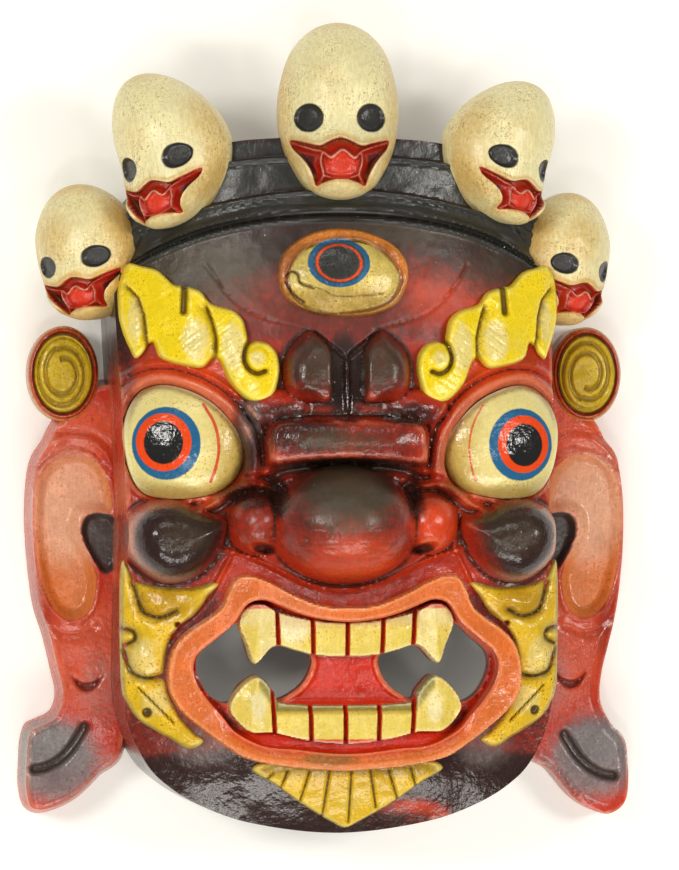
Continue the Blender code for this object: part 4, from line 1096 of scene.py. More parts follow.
def wood_material():
    """Oiled softwood cut with a gouge: dull brown, long pores along the grain, grime and painted shade in
    hollows.
    """
    paints = settings()[1]
    material = bpy.data.materials.new("gouged_softwood")
    material.use_nodes = True
    tree = material.node_tree
    shader = tree.nodes["Principled BSDF"]
    place = add_node(tree, "ShaderNodeTexCoord").outputs["Object"]
    along = add_node(tree, "ShaderNodeMapping", {"Scale": (1.0, 0.06, 1.0)}, {"Vector": place}).outputs[0]
    grain = add_node(tree, "ShaderNodeTexNoise", {"Scale": 1.0 / (1.6 * MILLIMETRE), "Detail": 4.0},
                     {"Vector": along}).outputs["Fac"]
    pores = add_node(tree, "ShaderNodeTexNoise", {"Scale": 1.0 / (0.7 * MILLIMETRE), "Detail": 2.0},
                     {"Vector": along}).outputs["Fac"]
    patches = add_node(tree, "ShaderNodeTexNoise", {"Scale": 1.0 / (30.0 * MILLIMETRE), "Detail": 3.0},
                       {"Vector": place}).outputs["Fac"]
    hollow_grime_and_shade = add_node(tree, "ShaderNodeAttribute", {"attribute_name": "hollow_grime_and_shade"}).outputs["Fac"]
    tone = add_node(tree, "ShaderNodeRGB")
    tone.outputs[0].default_value = paints.wood[:]
    tone = tone.outputs[0]
    for value, start, full, code, strength in ((grain, 0.3, 0.7, "#5B3C22", 1.0),
                                               (patches, 0.4, 0.7, "#8F6B45", 0.5),
                                               (pores, 0.62, 0.72, "#2E1C10", 0.7),
                                               (hollow_grime_and_shade, 0.2, 1.5, "#2A1A10", 0.6)):
        amount = add_node(tree, "ShaderNodeMapRange",
                          {"From Min": start, "From Max": full, "To Max": strength},
                          {"Value": value}).outputs[0]
        tone = add_node(tree, "ShaderNodeMix", {"data_type": "RGBA", 7: linear(code)},
                        {0: amount, 6: tone}).outputs[2]
    tree.links.new(tone, shader.inputs["Base Color"])
    relief = add_node(tree, "ShaderNodeBump", {"Strength": 0.6, "Distance": 0.35 * MILLIMETRE},
                      {"Height": grain})
    tree.links.new(relief.outputs[0], shader.inputs["Normal"])
    shader.inputs["Roughness"].default_value = 0.7
    return material


class MaskThirdEye(bpy.types.Operator):
    """Carve the third eye with its lid."""
    bl_idname = "wrathful_mask.third_eye"
    bl_label = "Third eye"

    def execute(self, context):
        paints = settings()[1]
        lid_line, ball_line = (clockwise(smooth_outline(line, 0.8)) for line in (THIRD_LID, THIRD_BALL))
        centre = np.mean(THIRD_BALL, axis=0)
        duct = [(-24.8, 64.5), (-22.5, 66.5), (-20.0, 65.0), (-19.0, 61.5), (-13.5, 59.2)]
        duct_low = [(-25.2, 62.0), (-22.5, 57.5), (-17.5, 53.2)]
        crack = [(-19.5, 62.0), (-10.1, 58.8), (-4.2, 56.1), (4.8, 56.1), (16.8, 57.0)]

        def height(x, y):
            lid = inside_distance(lid_line, x, y)
            ball = inside_distance(ball_line, x, y)
            z = plain_face(x, y) + bevel(lid, 4.6, 2.6) + 0.3 * ripple(x, y, 5.0, 8)
            reach = oval(x, y, centre, (24.5, 16.2))
            swell = np.sqrt(np.clip(1.0 - reach ** 2, 0.0, 1.0))
            z = z + np.where(ball > 0, 5.2 * swell, 0.0) - 2.2 * smooth_step(ball, -0.4, 0.8)
            z = z - groove(ball + 0.2, 1.6, 0.7) + ridge(lid - 1.0, 1.2, 0.4)
            for line, width, depth in ((duct, 1.4, 0.9), (duct_low, 1.3, 0.7), (crack, 0.8, 0.4)):
                z = z - groove(line_distance(line, x, y), width, depth)
            return z

        def paint(x, y, z):
            ball = inside_distance(ball_line, x, y)
            ducts = np.minimum(line_distance(duct, x, y), line_distance(duct_low, x, y))
            values = {"ball": ball, "duct": 1.0 - ducts, "crack": 0.7 - line_distance(crack, x, y),
                      "low": smooth_step(-y, -66.0, -52.0), "left": smooth_step(-x - 0.5 * y, -30.0, 0.0),
                      "lid_shade": 1.0 - smooth_step(np.abs(ball + 0.6), 0.3, 2.4)}
            for label, radii in zip(("iris", "ring", "pupil"), THIRD_RADII):
                values[label] = (1.0 - oval(x, y, THIRD_IRIS, radii)) * radii[1]
            return values

        material = paint_material("orange_enamel_lid", linear("#D47B26"), [
            ("left", 0.0, 1.0, "#9A4A1E", 0.7, 0.4),
            ("ball", -0.5, 0.4, "#DFC566", 1.0, 0.5),
            ("low", 0.1, 1.0, "#A87C24", 0.6, 0.5),
            ("lid_shade", 0.1, 1.0, "#5A3210", 0.55, 0.7),
            ("iris", -0.25, 0.25, paints.iris[:], 1.0, 0.35),
            ("iris", 1.5, 1.8, "#3E4A4C", 1.0, 0.2),
            ("ring", -0.2, 0.2, paints.ring[:], 1.0, 0.25),
            ("ring", 0.8, 1.1, "#3A3E3A", 1.0, 0.2),
            ("pupil", -0.5, 0.5, "#343430", 1.0, 0.25),
            ("crack", 0.1, 0.7, "#6A4518", 0.7, 0.7),
            ("duct", 0.1, 0.8, "#3A2410", 0.85, 0.6)],
            fleck=("#7A5420", 0.9), strokes=0.16, mottle=0.42, hollow_grime_and_shade=("#4A2A14", 0.3, 1.2, 0.7),
            ridge_wear_and_highlight=("#F0B060", 0.4, 1.2, 0.4))
        carve("third_eye", lid_line, height, lambda x, y: plain_face(x, y) - 3.0, material, paint,
              0.6, [ball_line])
        return {"FINISHED"}


class MaskEyes(bpy.types.Operator):
    """Carve the two eyeballs."""
    bl_idname = "wrathful_mask.eyes"
    bl_label = "Eyes"

    def execute(self, context):
        paints = settings()[1]
        material = paint_material("cream_enamel_eye", paints.eye[:], [
            ("corner", 0.0, 1.0, "#B08A2C", 0.75, 0.6),
            ("under", 0.0, 1.0, "#B8963A", 0.6, 0.6),
            ("lid", 0.2, 1.0, "#7A4A20", 0.75, 0.5),
            ("iris", -0.3, 0.3, paints.iris[:], 1.0, 0.5),
            ("ring", -0.25, 0.25, paints.ring[:], 1.0, 0.4),
            ("pupil", -0.3, 0.3, "#1C1C1C", 1.0, 0.4),
            ("vein", -0.1, 0.35, "#CF4420", 0.95, 0.3)],
            gloss=0.12, mottle=0.1, strokes=0.04, fleck=("#C09A48", 0.8), ridge_wear_and_highlight=("#F2E9C0", 0.4, 1.2, 0.3))
        for side, name in ((-1, "left_eyeball"), (1, "right_eyeball")):
            opening = side_outline(EYE_HALF, 0.9, side, EYE_CENTRE)

            def height(x, y):
                return eyeball_height(side * (x - EYE_CENTRE), y) + 0.3 * ripple(x, y, 7.0, 11)

            def paint(x, y, z):
                inward = 94.0 - side * (x - EYE_CENTRE)
                edge = inside_distance(opening, x, y)
                vein = line_distance(VEIN, side * x, y)
                shaded = smooth_step(y + 0.5 * inward, -16.0, 14.0)
                # Painted shade darkens the inner corner and the ball under the upper lid
                values = {"corner": smooth_step(inward, 26.0, 50.0) * 0.9,
                          "lid": (1.0 - smooth_step(edge, 0.0, 5.0)) * shaded,
                          "under": smooth_step(-y, 14.0, 30.0) * (1.0 - smooth_step(edge, 2.0, 9.0)),
                          "vein": 0.8 - vein if side < 0 else 0.55 - vein}
                for label, centre, radii in zip(("iris", "ring", "pupil"), IRIS[side], IRIS_RADII):
                    values[label] = (1.0 - oval(x, y, centre, radii)) * radii[0]
                return values

            carve(name, opening, height, lambda x, y: plain_face(x, y) - 10.0, material, paint, 0.75)
        return {"FINISHED"}


class MaskBrows(bpy.types.Operator):
    """Carve the leafy brows."""
    bl_idname = "wrathful_mask.brows"
    bl_label = "Brows"

    def execute(self, context):
        sizes, paints = settings()
        rise = drawn(sizes.brow)
        material = paint_material("yellow_enamel_brow", paints.yellow[:], [
            ("cream", 0.35, 0.9, "#E6D795", 0.7, 1.0),
            ("shade", 0.1, 1.0, "#7C5A10", 0.9, 0.7),
            ("cut", 1.2, 3.2, "#4B3512", 0.9, 0.8)],
            fleck=("#A87C28", 0.8), strokes=0.06, mottle=0.12, hollow_grime_and_shade=("#6A4A12", 0.3, 1.3, 0.7),
            ridge_wear_and_highlight=("#FBEE7A", 0.4, 1.3, 0.5), specks=0.2)

        def cuts(x, y):
            """Depth of the slot, and of the cut that winds round the button."""
            slot = groove(line_distance(BROW_SLOT, x, y), 4.4, 3.6)
            return np.maximum(slot, groove(line_distance(BROW_CURL_CUT, x, y), 3.4, 3.4))

        def dips(x, y):
            """How far each leaf dips where the next one lies over it."""
            dip = np.zeros_like(x)
            for line, reach in BROW_LEAVES:
                ys, xs = np.array(sorted((ly, lx) for lx, ly in line)).T
                past = x - np.interp(y, ys, xs)
                ends = smooth_step(y, ys[0] - 2.0, ys[0] + 3.0)
                ends = ends * smooth_step(-y, -ys[-1] - 3.0, -ys[-1] + 2.0)
                fall = np.exp(-np.maximum(past, 0.0) / reach) * smooth_step(past, -0.5, 0.3)
                dip = np.maximum(dip, ends * fall)
            return dip

        for side, name in ((-1, "left_brow"), (1, "right_brow")):
            outline = side_outline(BROW_HALF, 0.8, side, BROW_CENTRE)

            def height(x, y):
                mirrored = side * (x - BROW_CENTRE)
                inside = inside_distance(outline, x, y)
                z = plain_face(x, y) + bevel(inside, rise, 2.6) + 0.8 * smooth_step(inside, 2.0, 8.0)
                z = z + 1.6 * np.exp(-((mirrored - 68.0) / 9.0) ** 2)
                z = z + 1.0 * np.exp(-((mirrored - 49.0) / 5.0) ** 2)
                z = z + 0.4 * ripple(x, y, 6.0, 13) + 0.05 * np.cos(1.7 * y + mirrored)
                button = oval(mirrored, y, BROW_BUTTON, (5.0, 5.0))
                z = z + 1.4 * np.sqrt(np.clip(1.0 - button ** 2, 0.0, 1.0))
                z = z - 0.9 * smooth_step(0.35 - button, 0.0, 0.3)
                strokes = np.cos(2.6 * (0.8 * mirrored + y) + 2.0 * ripple(x, y, 9.0, 17))
                z = z + 0.07 * strokes * cloud(mirrored, y, (56, 34), (26, 14))
                return z - cuts(mirrored, y) - 3.6 * dips(mirrored, y)

            def paint(x, y, z):
                mirrored = side * (x - BROW_CENTRE)
                inside = inside_distance(outline, x, y)
                # The cream patches are cream paint, and partly painted highlights on the lobes
                cream = clouds(mirrored, y, [((65, 37), (7.5, 12), 1.0), ((49.5, 34), (6, 14), 1.0),
                                             (BROW_BUTTON, (4.5, 4.5), 0.85), ((90, 46), (4, 14), 0.85)])
                rim = 0.5 * (1.0 - smooth_step(inside, 0.4, 2.4)) * smooth_step(-y, -50.0, -25.0)
                # The slot and the cut round the button darken with their depth as painted shade
                return {"cream": cream, "shade": np.maximum(dips(mirrored, y), rim), "cut": cuts(mirrored, y)}

            carve(name, outline, height, lambda x, y: plain_face(x, y) - 6.0, material, paint, 0.7)
        return {"FINISHED"}


class MaskMouth(bpy.types.Operator):
    """Carve the lips and the two rows of teeth."""
    bl_idname = "wrathful_mask.mouth"
    bl_label = "Lips and teeth"

    def execute(self, context):
        sizes, paints = settings()
        self.lips(drawn(sizes.lips), paints)
        rise = drawn(sizes.teeth)
        enamel = paint_material("cream_enamel_teeth", paints.teeth[:], [
            ("glint", 0.2, 0.9, "#EFE6BC", 0.7, 0.7), ("low", 0.2, 1.0, "#6E6A34", 0.8, 0.5),
            ("gap", -0.2, 0.3, paints.gums[:], 1.0, 0.35), ("deep", 0.3, 0.9, "#7A1E10", 0.6, 0.4)],
            mottle=0.14, fleck=("#B08A3C", 0.7), strokes=0.08, hollow_grime_and_shade=("#8A4A1A", 0.5, 1.6, 0.5),
            ridge_wear_and_highlight=("#FBF3CC", 0.5, 1.4, 0.25), specks=0.2)
        self.row("upper_teeth", UPPER_TEETH_HALF, UPPER_GAPS, rise, enamel)
        self.row("lower_teeth", LOWER_TEETH_HALF, LOWER_GAPS, rise, enamel)
        return {"FINISHED"}

    def lips(self, rise, paints):
        """One band round the whole mouth, with a thin raised edge."""
        outer, inner = (whole_outline(half, 0.9, MOUTH_CENTRE) for half in (LIP_OUTER_HALF, LIP_INNER_HALF))

        def top_height(x, y):
            out = inside_distance(outer, x, y)
            within = -inside_distance(inner, x, y)
            low = smooth_step(-y, 118.0, 134.0)
            z = plain_face(x, y) + bevel(out, rise, 1.3) + ridge(out - 1.2, 1.2, 0.5)
            z = z - (0.8 + 1.6 * low) * (1.0 - smooth_step(within, 0.0, 1.0 + 4.0 * low))
            return z + 0.3 * ripple(x, y, 7.0, 17)

        def lip_paint(x, y, z):
            stain = cloud(x, y, (-6, -142.5), (16, 4), 0.8)
            low = smooth_step(-y, 112.0, 130.0)
            red = 1.0 - smooth_step(-inside_distance(inner, x, y), 0.2, 1.6 + 2.0 * low)
            # The pale line along the outer ridge is wear and partly a painted highlight
            return {"stain": stain, "red": red, "edge": 0.9 - np.abs(inside_distance(outer, x, y) - 1.2)}

        material = paint_material("orange_enamel_lips", paints.lips[:], [
            ("red", 0.1, 1.0, paints.gums[:], 0.85, 0.5), ("stain", 0.1, 0.9, "#6E6428", 0.6, 0.6),
            ("edge", 0.1, 0.8, "#F0A66E", 0.55, 0.7)],
            fleck=("#8A4A24", 0.7), hollow_grime_and_shade=("#4A2412", 0.4, 1.5, 0.6), ridge_wear_and_highlight=("#F2A068", 0.6, 1.4, 0.3))
        flat, faces = triangles_between(outer, [inner], filling_points(outer, 0.9, holes=[inner]))
        x, y = flat.T
        z = top_height(x, y)
        shell = Shell()
        top = shell.add_points(np.column_stack([x, y, z]), lip_paint(x, y, z))
        shell.add_faces(faces)
        count = len(outer)
        loops = []
        for start, loop, depth in ((0, outer, 3.0), (count, inner, 8.6)):
            chosen = slice(start, start + len(loop))
            base = np.column_stack([loop, plain_face(*loop.T) - depth])
            wall = wall_rows(np.column_stack([loop, z[chosen]]), base, (0.35, 0.7, 1.0), lip_paint)
            loops.append(shell.add_rows(top[chosen], wall))
        under, faces = triangles_between(outer, [inner], filling_points(outer, 5.0, holes=[inner]))
        px, py = under[count + len(inner):].T
        rest = shell.add_points(np.column_stack([px, py, plain_face(px, py) - 5.0]), {})
        shell.add_faces(np.concatenate(loops + [rest])[faces])
        shell.make("lips", [material])

    def row(self, name, half, gaps, rise, enamel):
        """One row of teeth with a fang at each end."""
        outline = whole_outline(half, 0.7, MOUTH_CENTRE)
        upper = name == "upper_teeth"
        middle = -88.0 if upper else -127.0
        fang_line = UPPER_FANG if upper else LOWER_FANG

        def gap_distance(x, y):
            """Distance to the nearest cut between two teeth."""
            leans = [0.0018 * (gap - MOUTH_CENTRE) * (y - middle) for gap in gaps]
            return np.min([np.abs(x - gap - lean) for gap, lean in zip(gaps, leans)], axis=0)

        def height(x, y):
            mirrored = np.abs(x - MOUTH_CENTRE)
            inside = inside_distance(outline, x, y)
            gap = gap_distance(x, y)
            z = plain_face(x, y) - 5.4 + bevel(inside, rise, 0.7) - groove(gap, 2.0, 3.2)
            z = z + 0.5 * np.sqrt(np.clip(gap / 4.0, 0.0, 1.0)) + 0.4 * ripple(x, y, 4.5, 19)
            fang = line_distance(fang_line, mirrored, y)
            z = z + 2.4 * np.clip(1.0 - fang / 7.0, 0.0, 1.0) * smooth_step(mirrored, 30.6, 31.6)
            gum = 2.6 * smooth_step(y, -87.5, -80.0) if upper else 3.0 * smooth_step(y, -124.0, -121.0)
            return z - gum * smooth_step(-mirrored, -31.0, -29.6)

        def paint(x, y, z):
            mirrored = np.abs(x - MOUTH_CENTRE)
            gap = gap_distance(x, y)
            edge = inside_distance(outline, x, y)
            fang = smooth_step(mirrored, 30.0, 31.0)
            if upper:
                glint = np.maximum(smooth_step(y, -91.0, -82.0) * 0.6, cloud(x, y, (-22, -86), (9, 9), 0.9))
                glint = np.maximum(glint, fang * smooth_step(-mirrored, -39.5, -38.0) * 0.55)
                low = np.zeros_like(x)
                red = fang * smooth_step(y, -80.6, -76.5)
            else:
                glint = cloud(mirrored, y, (38, -120), (5, 10), 0.7)
                low = smooth_step(y, -123.6, -121.2) * (1.0 - fang)
                tip = 0.9 * smooth_step(y + 1.3 * np.abs(mirrored - 38.5), -116.0, -108.0)
                low = np.maximum(low, fang * tip * smooth_step(-mirrored, -39.5, -37.5))
                red = smooth_step(-y, 132.6, 135.0)
            # The cuts between the teeth darken towards their bottom as painted shade
            return {"glint": glint, "low": low, "gap": np.maximum(1.05 - gap, red - 0.5 - 0.1 * edge),
                    "deep": 1.0 - smooth_step(gap, 0.0, 0.8)}

        carve(name, outline, height, lambda x, y: plain_face(x, y) - 8.4, enamel, paint, 0.6)


class MaskBeard(bpy.types.Operator):
    """Carve the beard beside the mouth and on the chin."""
    bl_idname = "wrathful_mask.beard"
    bl_label = "Beard"

    def execute(self, context):
        sizes, paints = settings()
        rise = drawn(sizes.beard)
        material = paint_material("yellow_enamel_beard", paints.beard[:], [
            ("gold", 0.1, 1.0, "#C4930F", 0.8, 0.4),
            ("cream", 0.35, 0.85, "#E4CE7E", 0.65, 0.6),
            ("shade", 0.1, 1.0, "#6E5214", 0.75, 0.7),
            ("cut", 0.5, 1.8, "#3E2E12", 0.85, 0.8)],
            mottle=0.25, fleck=("#6E5420", 1.0), strokes=0.08, hollow_grime_and_shade=("#4A3614", 0.25, 1.1, 0.7),
            ridge_wear_and_highlight=("#F2DC6C", 0.35, 1.2, 0.5), specks=0.2)

        def cuts(x, y):
            """Depth of the cuts and holes in a beard beside the mouth."""
            depths = [groove(line_distance(line, x, y), width, 1.6) for line, width in BEARD_CUTS]
            depths += [2.6 * (1.0 - smooth_step(np.hypot(x - cx, y - cy), radius * 0.4, radius * 1.15))
                       for cx, cy, radius in BEARD_HOLES]
            return np.max(depths, axis=0)

        def hollows(x, y):
            """Soft hollows between the locks."""
            distances = [line_distance(line, x, y) for line, _ in BEARD_CUTS[:3]]
            return np.exp(-(np.min(distances, axis=0) / 3.0) ** 2)

        for side, name in ((-1, "left_beard"), (1, "right_beard")):
            outline = side_outline(SIDE_BEARD_HALF, 0.9, side, EYE_CENTRE)

            def height(x, y):
                mirrored = side * (x - EYE_CENTRE)
                inside = inside_distance(outline, x, y)
                z = plain_face(x, y) + bevel(inside, rise, 3.6) + 1.6 * smooth_step(inside, 1.0, 9.0)
                z = z - 1.7 * hollows(mirrored, y) - cuts(mirrored, y)
                return z + 0.5 * ripple(x, y, 5.0, 23) + 0.15 * ripple(x, y, 2.4, 24)

            def paint(x, y, z):
                mirrored = side * (x - EYE_CENTRE)
                inside = inside_distance(outline, x, y)
                cream = clouds(mirrored, y, [((86, -100), (7, 12), 1.0), ((80, -118), (9, 8), 0.9)])
                shade = np.maximum(1.0 - smooth_step(inside, 0.3, 2.6), 0.7 * hollows(mirrored, y))
                # The cuts and holes darken with their depth as painted shade
                return {"gold": cloud(mirrored, y, (78, -76), (16, 9)), "cream": cream, "shade": shade,
                        "cut": cuts(mirrored, y)}

            carve(name, outline, height, lambda x, y: plain_face(x, y) - 4.0, material, paint, 0.8)

        outline = whole_outline(CHIN_BEARD_HALF, 0.8, CHIN_CENTRE)

        def chin_cuts(x, y):
            """Depth of the pleats."""
            return np.max([groove(line_distance(line, x, y), 1.9, 1.6) for line in CHIN_PLEATS], axis=0)

        def chin_height(x, y):
            inside = inside_distance(outline, x, y)
            z = plain_face(x, y) + bevel(inside, rise, 1.8) - chin_cuts(x, y)
            return z + 0.35 * ripple(x, y, 4.0, 29)

        def chin_paint(x, y, z):
            inside = inside_distance(outline, x, y)
            shade = np.maximum(1.0 - smooth_step(inside, 0.2, 1.8), smooth_step(y, -154.0, -147.0) * 0.8)
            # The pleats darken with their depth as painted shade
            return {"shade": shade, "cut": chin_cuts(x, y), "gold": cloud(x, y, (2, -150), (34, 12), 0.5),
                    "cream": cloud(x, y, (4, -160), (12, 8), 0.5)}

        carve("chin_beard", outline, chin_height, lambda x, y: plain_face(x, y) - 2.5, material,
              chin_paint, 0.8)
        return {"FINISHED"}


class MaskEars(bpy.types.Operator):
    """Carve the ears and the ornaments above them."""
    bl_idname = "wrathful_mask.ears"
    bl_label = "Ears"

    def execute(self, context):
        sizes, paints = settings()
        thickness = drawn(sizes.ears)
        concha_line, comma_line, crescent_line = (smooth_outline(line, 1.0)
                                                  for line in (CONCHA_OUTLINE, EAR_COMMA, EAR_CRESCENT))
        material = paint_material("sprayed_red_enamel_ear", linear("#C4351B"), [
            ("warm", 0.1, 1.0, "#DC5A34", 0.8, 0.5),
            ("smoke", 0.05, 0.95, paints.black[:], 0.75, 0.6),
            ("ash", 0.05, 0.85, "#7F7A79", 0.9, 0.8),
            ("concha", -0.5, 0.5, paints.concha[:], 1.0, 0.6),
            ("pale", 0.1, 1.0, "#F3BC98", 0.75, 0.6),
            ("comma", -0.6, 0.8, "#41403E", 0.97, 0.6),
            ("slot", -0.2, 1.2, "#3C342C", 0.92, 0.6),
            ("crescent", -0.4, 0.8, "#7A2A20", 0.85, 0.6)],
            fleck=("#8A4438", 0.6), ridge_wear_and_highlight=("#F0A080", 0.6, 1.6, 0.3), hollow_grime_and_shade=("#4A1A10", 0.5, 1.6, 0.6))
        for side, name in ((-1, "left_ear"), (1, "right_ear")):
            # The right ear flares less towards its back, its hollow lies further out and its slot lower
            drawn_ear = EAR_OUTLINE if side < 0 else RIGHT_EAR_OUTLINE
            flare = SIDE_FLARE if side < 0 else 0.4
            shift = 0.0 if side < 0 else 3.6
            slot = np.array(LOBE_SLOT) - (0.0, 0.0 if side < 0 else 5.0)
            edge_line = clockwise(smooth_outline(drawn_ear, 2.0))
            outline = clockwise(smooth_outline(drawn_ear, 1.1))
            outline = clockwise((outline - outline_normals(outline) * flare) * (side, 1.0))

            def height(x, y):
                mirrored = side * x
                inner = mirrored - shift
                edge = inside_distance(edge_line, mirrored, y)
                z = thickness - 1.6 + 2.6 * smooth_step(edge, 0.0, 6.0)
                concha = inside_distance(concha_line, inner, y)
                comma = inside_distance(comma_line, inner, y)
                z = z - 3.6 * smooth_step(concha, -0.4, 4.6) + ridge(concha + 1.2, 1.8, 0.8)
                z = z - 5.0 * smooth_step(comma, -0.3, 2.6)
                top = line_distance(EAR_TOP_FOLD, mirrored, y)
                z = z + ridge(top, 2.6, 1.2) - groove(top - 3.6, 2.4, 0.8)
                z = z - 1.6 * np.exp(-(line_distance(EAR_LOW_FOLD, inner, y) / 2.6) ** 2)
                z = z - 2.4 * smooth_step(inside_distance(crescent_line, inner, y), -0.4, 1.6)
                z = z - groove(line_distance(slot, mirrored, y), 6.0, 3.4)
                z = z - 1.2 * cloud(mirrored, y, (119, -144), (22, 15))
                return z + 0.3 * ripple(x, y, 8.0, 31)

            def paint(x, y, z):
                mirrored = side * x
                inner = mirrored - shift
                return {"concha": np.minimum(inside_distance(concha_line, inner, y), 3.0),
                        "comma": inside_distance(comma_line, inner, y),
                        "crescent": inside_distance(crescent_line, inner, y),
                        "pale": cloud(inner, y, (114, -36), (20, 30)),
                        "slot": 2.7 - line_distance(slot, mirrored, y),
                        "warm": clouds(mirrored, y, EAR_RED),
                        "smoke": clouds(mirrored, y, EAR_BLACK),
                        "ash": clouds(mirrored, y, EAR_GREY)}

            carve(name, outline, height, lambda x, y: np.zeros_like(x), material, paint, 1.0,
                  flare=flare, rows=5)
            self.disc(side, name.replace("ear", "ear_ornament"), paints)
        return {"FINISHED"}

    def disc(self, side, name, paints):
        """Oval ornament above an ear: a low dome with a turned spiral and a red rim."""
        shell = Shell()
        rings = 56
        sectors = 110
        angles = np.linspace(0.0, 2.0 * math.pi, sectors, endpoint=False)
        circle = np.column_stack([np.cos(angles), np.sin(angles)])
        centre = np.array([side * DISC_CENTRE[0], DISC_CENTRE[1]])
        middle = shell.add_points([(centre[0], centre[1], DISC_DEPTH - 0.6)], {"rim": -9.0, "turn": 0.0})
        rows = []
        for ring in range(1, rings + 1):
            reach = ring / rings
            across = centre + circle * DISC_RADII * reach
            turned = reach - 0.26 * (((angles * side / (2.0 * math.pi)) + 0.3) % 1.0)
            turn = np.max([groove(np.abs(turned - cut), 0.15, 1.0) for cut in DISC_RINGS], axis=0)
            turn = turn * smooth_step(-reach, -0.80, -0.72)
            z = DISC_DEPTH - 5.0 * reach ** 4 - 1.6 * turn
            z = z - 1.6 * groove(abs(reach - 0.84), 0.1, 1.0) + ridge(reach - 0.92, 0.1, 0.9)
            z = z + 0.25 * ripple(across[:, 0], across[:, 1], 3.5, 37)
            rows.append((np.column_stack([across, z]), {"rim": reach * 14.0 - 11.6, "turn": turn,
                                                        "groove": groove(abs(reach - 0.84), 0.1, 1.0)}))
        rows += [(np.column_stack([across, z * (1.0 - share)]), {"rim": 3.0, "turn": 0.0})
                 for share in (0.25, 0.5, 0.75, 1.0)]
        first = shell.add_points(*rows[0])
        shell.add_faces(fan(middle[0], first))
        last = shell.add_rows(first, rows[1:])
        shell.add_faces([last.tolist()[::-1]])
        material = paint_material("mustard_enamel_" + name, paints.disc[:], [
            ("turn", 0.2, 1.0, "#7A5A12", 0.6, 0.7), ("rim", -0.5, 0.5, paints.red[:], 1.0, 0.6),
            ("groove", 0.3, 1.0, "#2E241C", 0.7, 0.5)],
            hollow_grime_and_shade=("#4A3614", 0.2, 0.9, 0.7), ridge_wear_and_highlight=("#E9D978", 0.3, 1.0, 0.5), mottle=0.26,
            fleck=("#7E6620", 0.9), specks=0.3)
        shell.make(name, [material])


def skull_face(x, y, is_front):
    """How far a skull's face stands out of its egg, and where each of its paints lies."""
    mouth_line = smooth_outline(both_halves(SKULL_MOUTH_HALF), 0.8)
    mouth = np.where(is_front, inside_distance(mouth_line, x, y), -9.0)
    torn = np.min([line_distance(line, x, y, 9.0) for line in SKULL_TEARS], axis=0)
    tongue = cloud(x, y, (0.4, -24.5), (8.0, 7.0))
    inside = smooth_step(mouth, -0.2, 0.9)
    socket = np.full(x.shape, -9.0)
    swell = 3.2 * cloud(x, y, (0, -36.2), (9.5, 5.0))
    for side in (-1.0, 1.0):
        reach = oval(x, y, (side * SKULL_SOCKET[0], SKULL_SOCKET[1]), SKULL_SOCKET[2:])
        socket = np.maximum(socket, np.where(is_front, (1.0 - reach) * 6.0, -9.0))
        swell = swell + 3.2 * cloud(x, y, (side * 17.0, -26.5), (6.5, 9.0))
    dent = swell * (mouth < 0.3) - 2.4 * smooth_step(socket, -0.4, 2.0)
    dent = dent + inside * (-4.0 + 3.4 * np.exp(-(torn / 1.0) ** 2) + 1.6 * tongue)
    dent = dent + ridge(mouth + 1.3, 2.4, 0.9) * smooth_step(-y, 12.0, 16.0) + 0.3 * ripple(x, y, 7.0, 41)
    # Ochre grows towards the sides, the bottom and the top of the face, and round the mouth
    age = 0.5 * smooth_step(-y, 2.0, 30.0) + 0.65 * smooth_step(np.abs(x), 13.0, 25.0)
    age = np.maximum(age, 0.6 * smooth_step(y, 30.0, 40.0) + 0.35 * cloud(x, y, (-6, 12), (12, 16)))
    age = np.maximum(age, 0.8 * np.exp(-(mouth + 1.0) ** 2 / 4.0) * (mouth < 0))
    # Painted shade darkens the sunk sides of the mouth
    throat = inside * smooth_step(torn, 1.6, 3.6) * smooth_step(np.abs(x), 6.0, 9.5)
    return dent, {"socket": socket, "mouth": mouth, "tongue": tongue * inside, "throat": throat, "age": age}


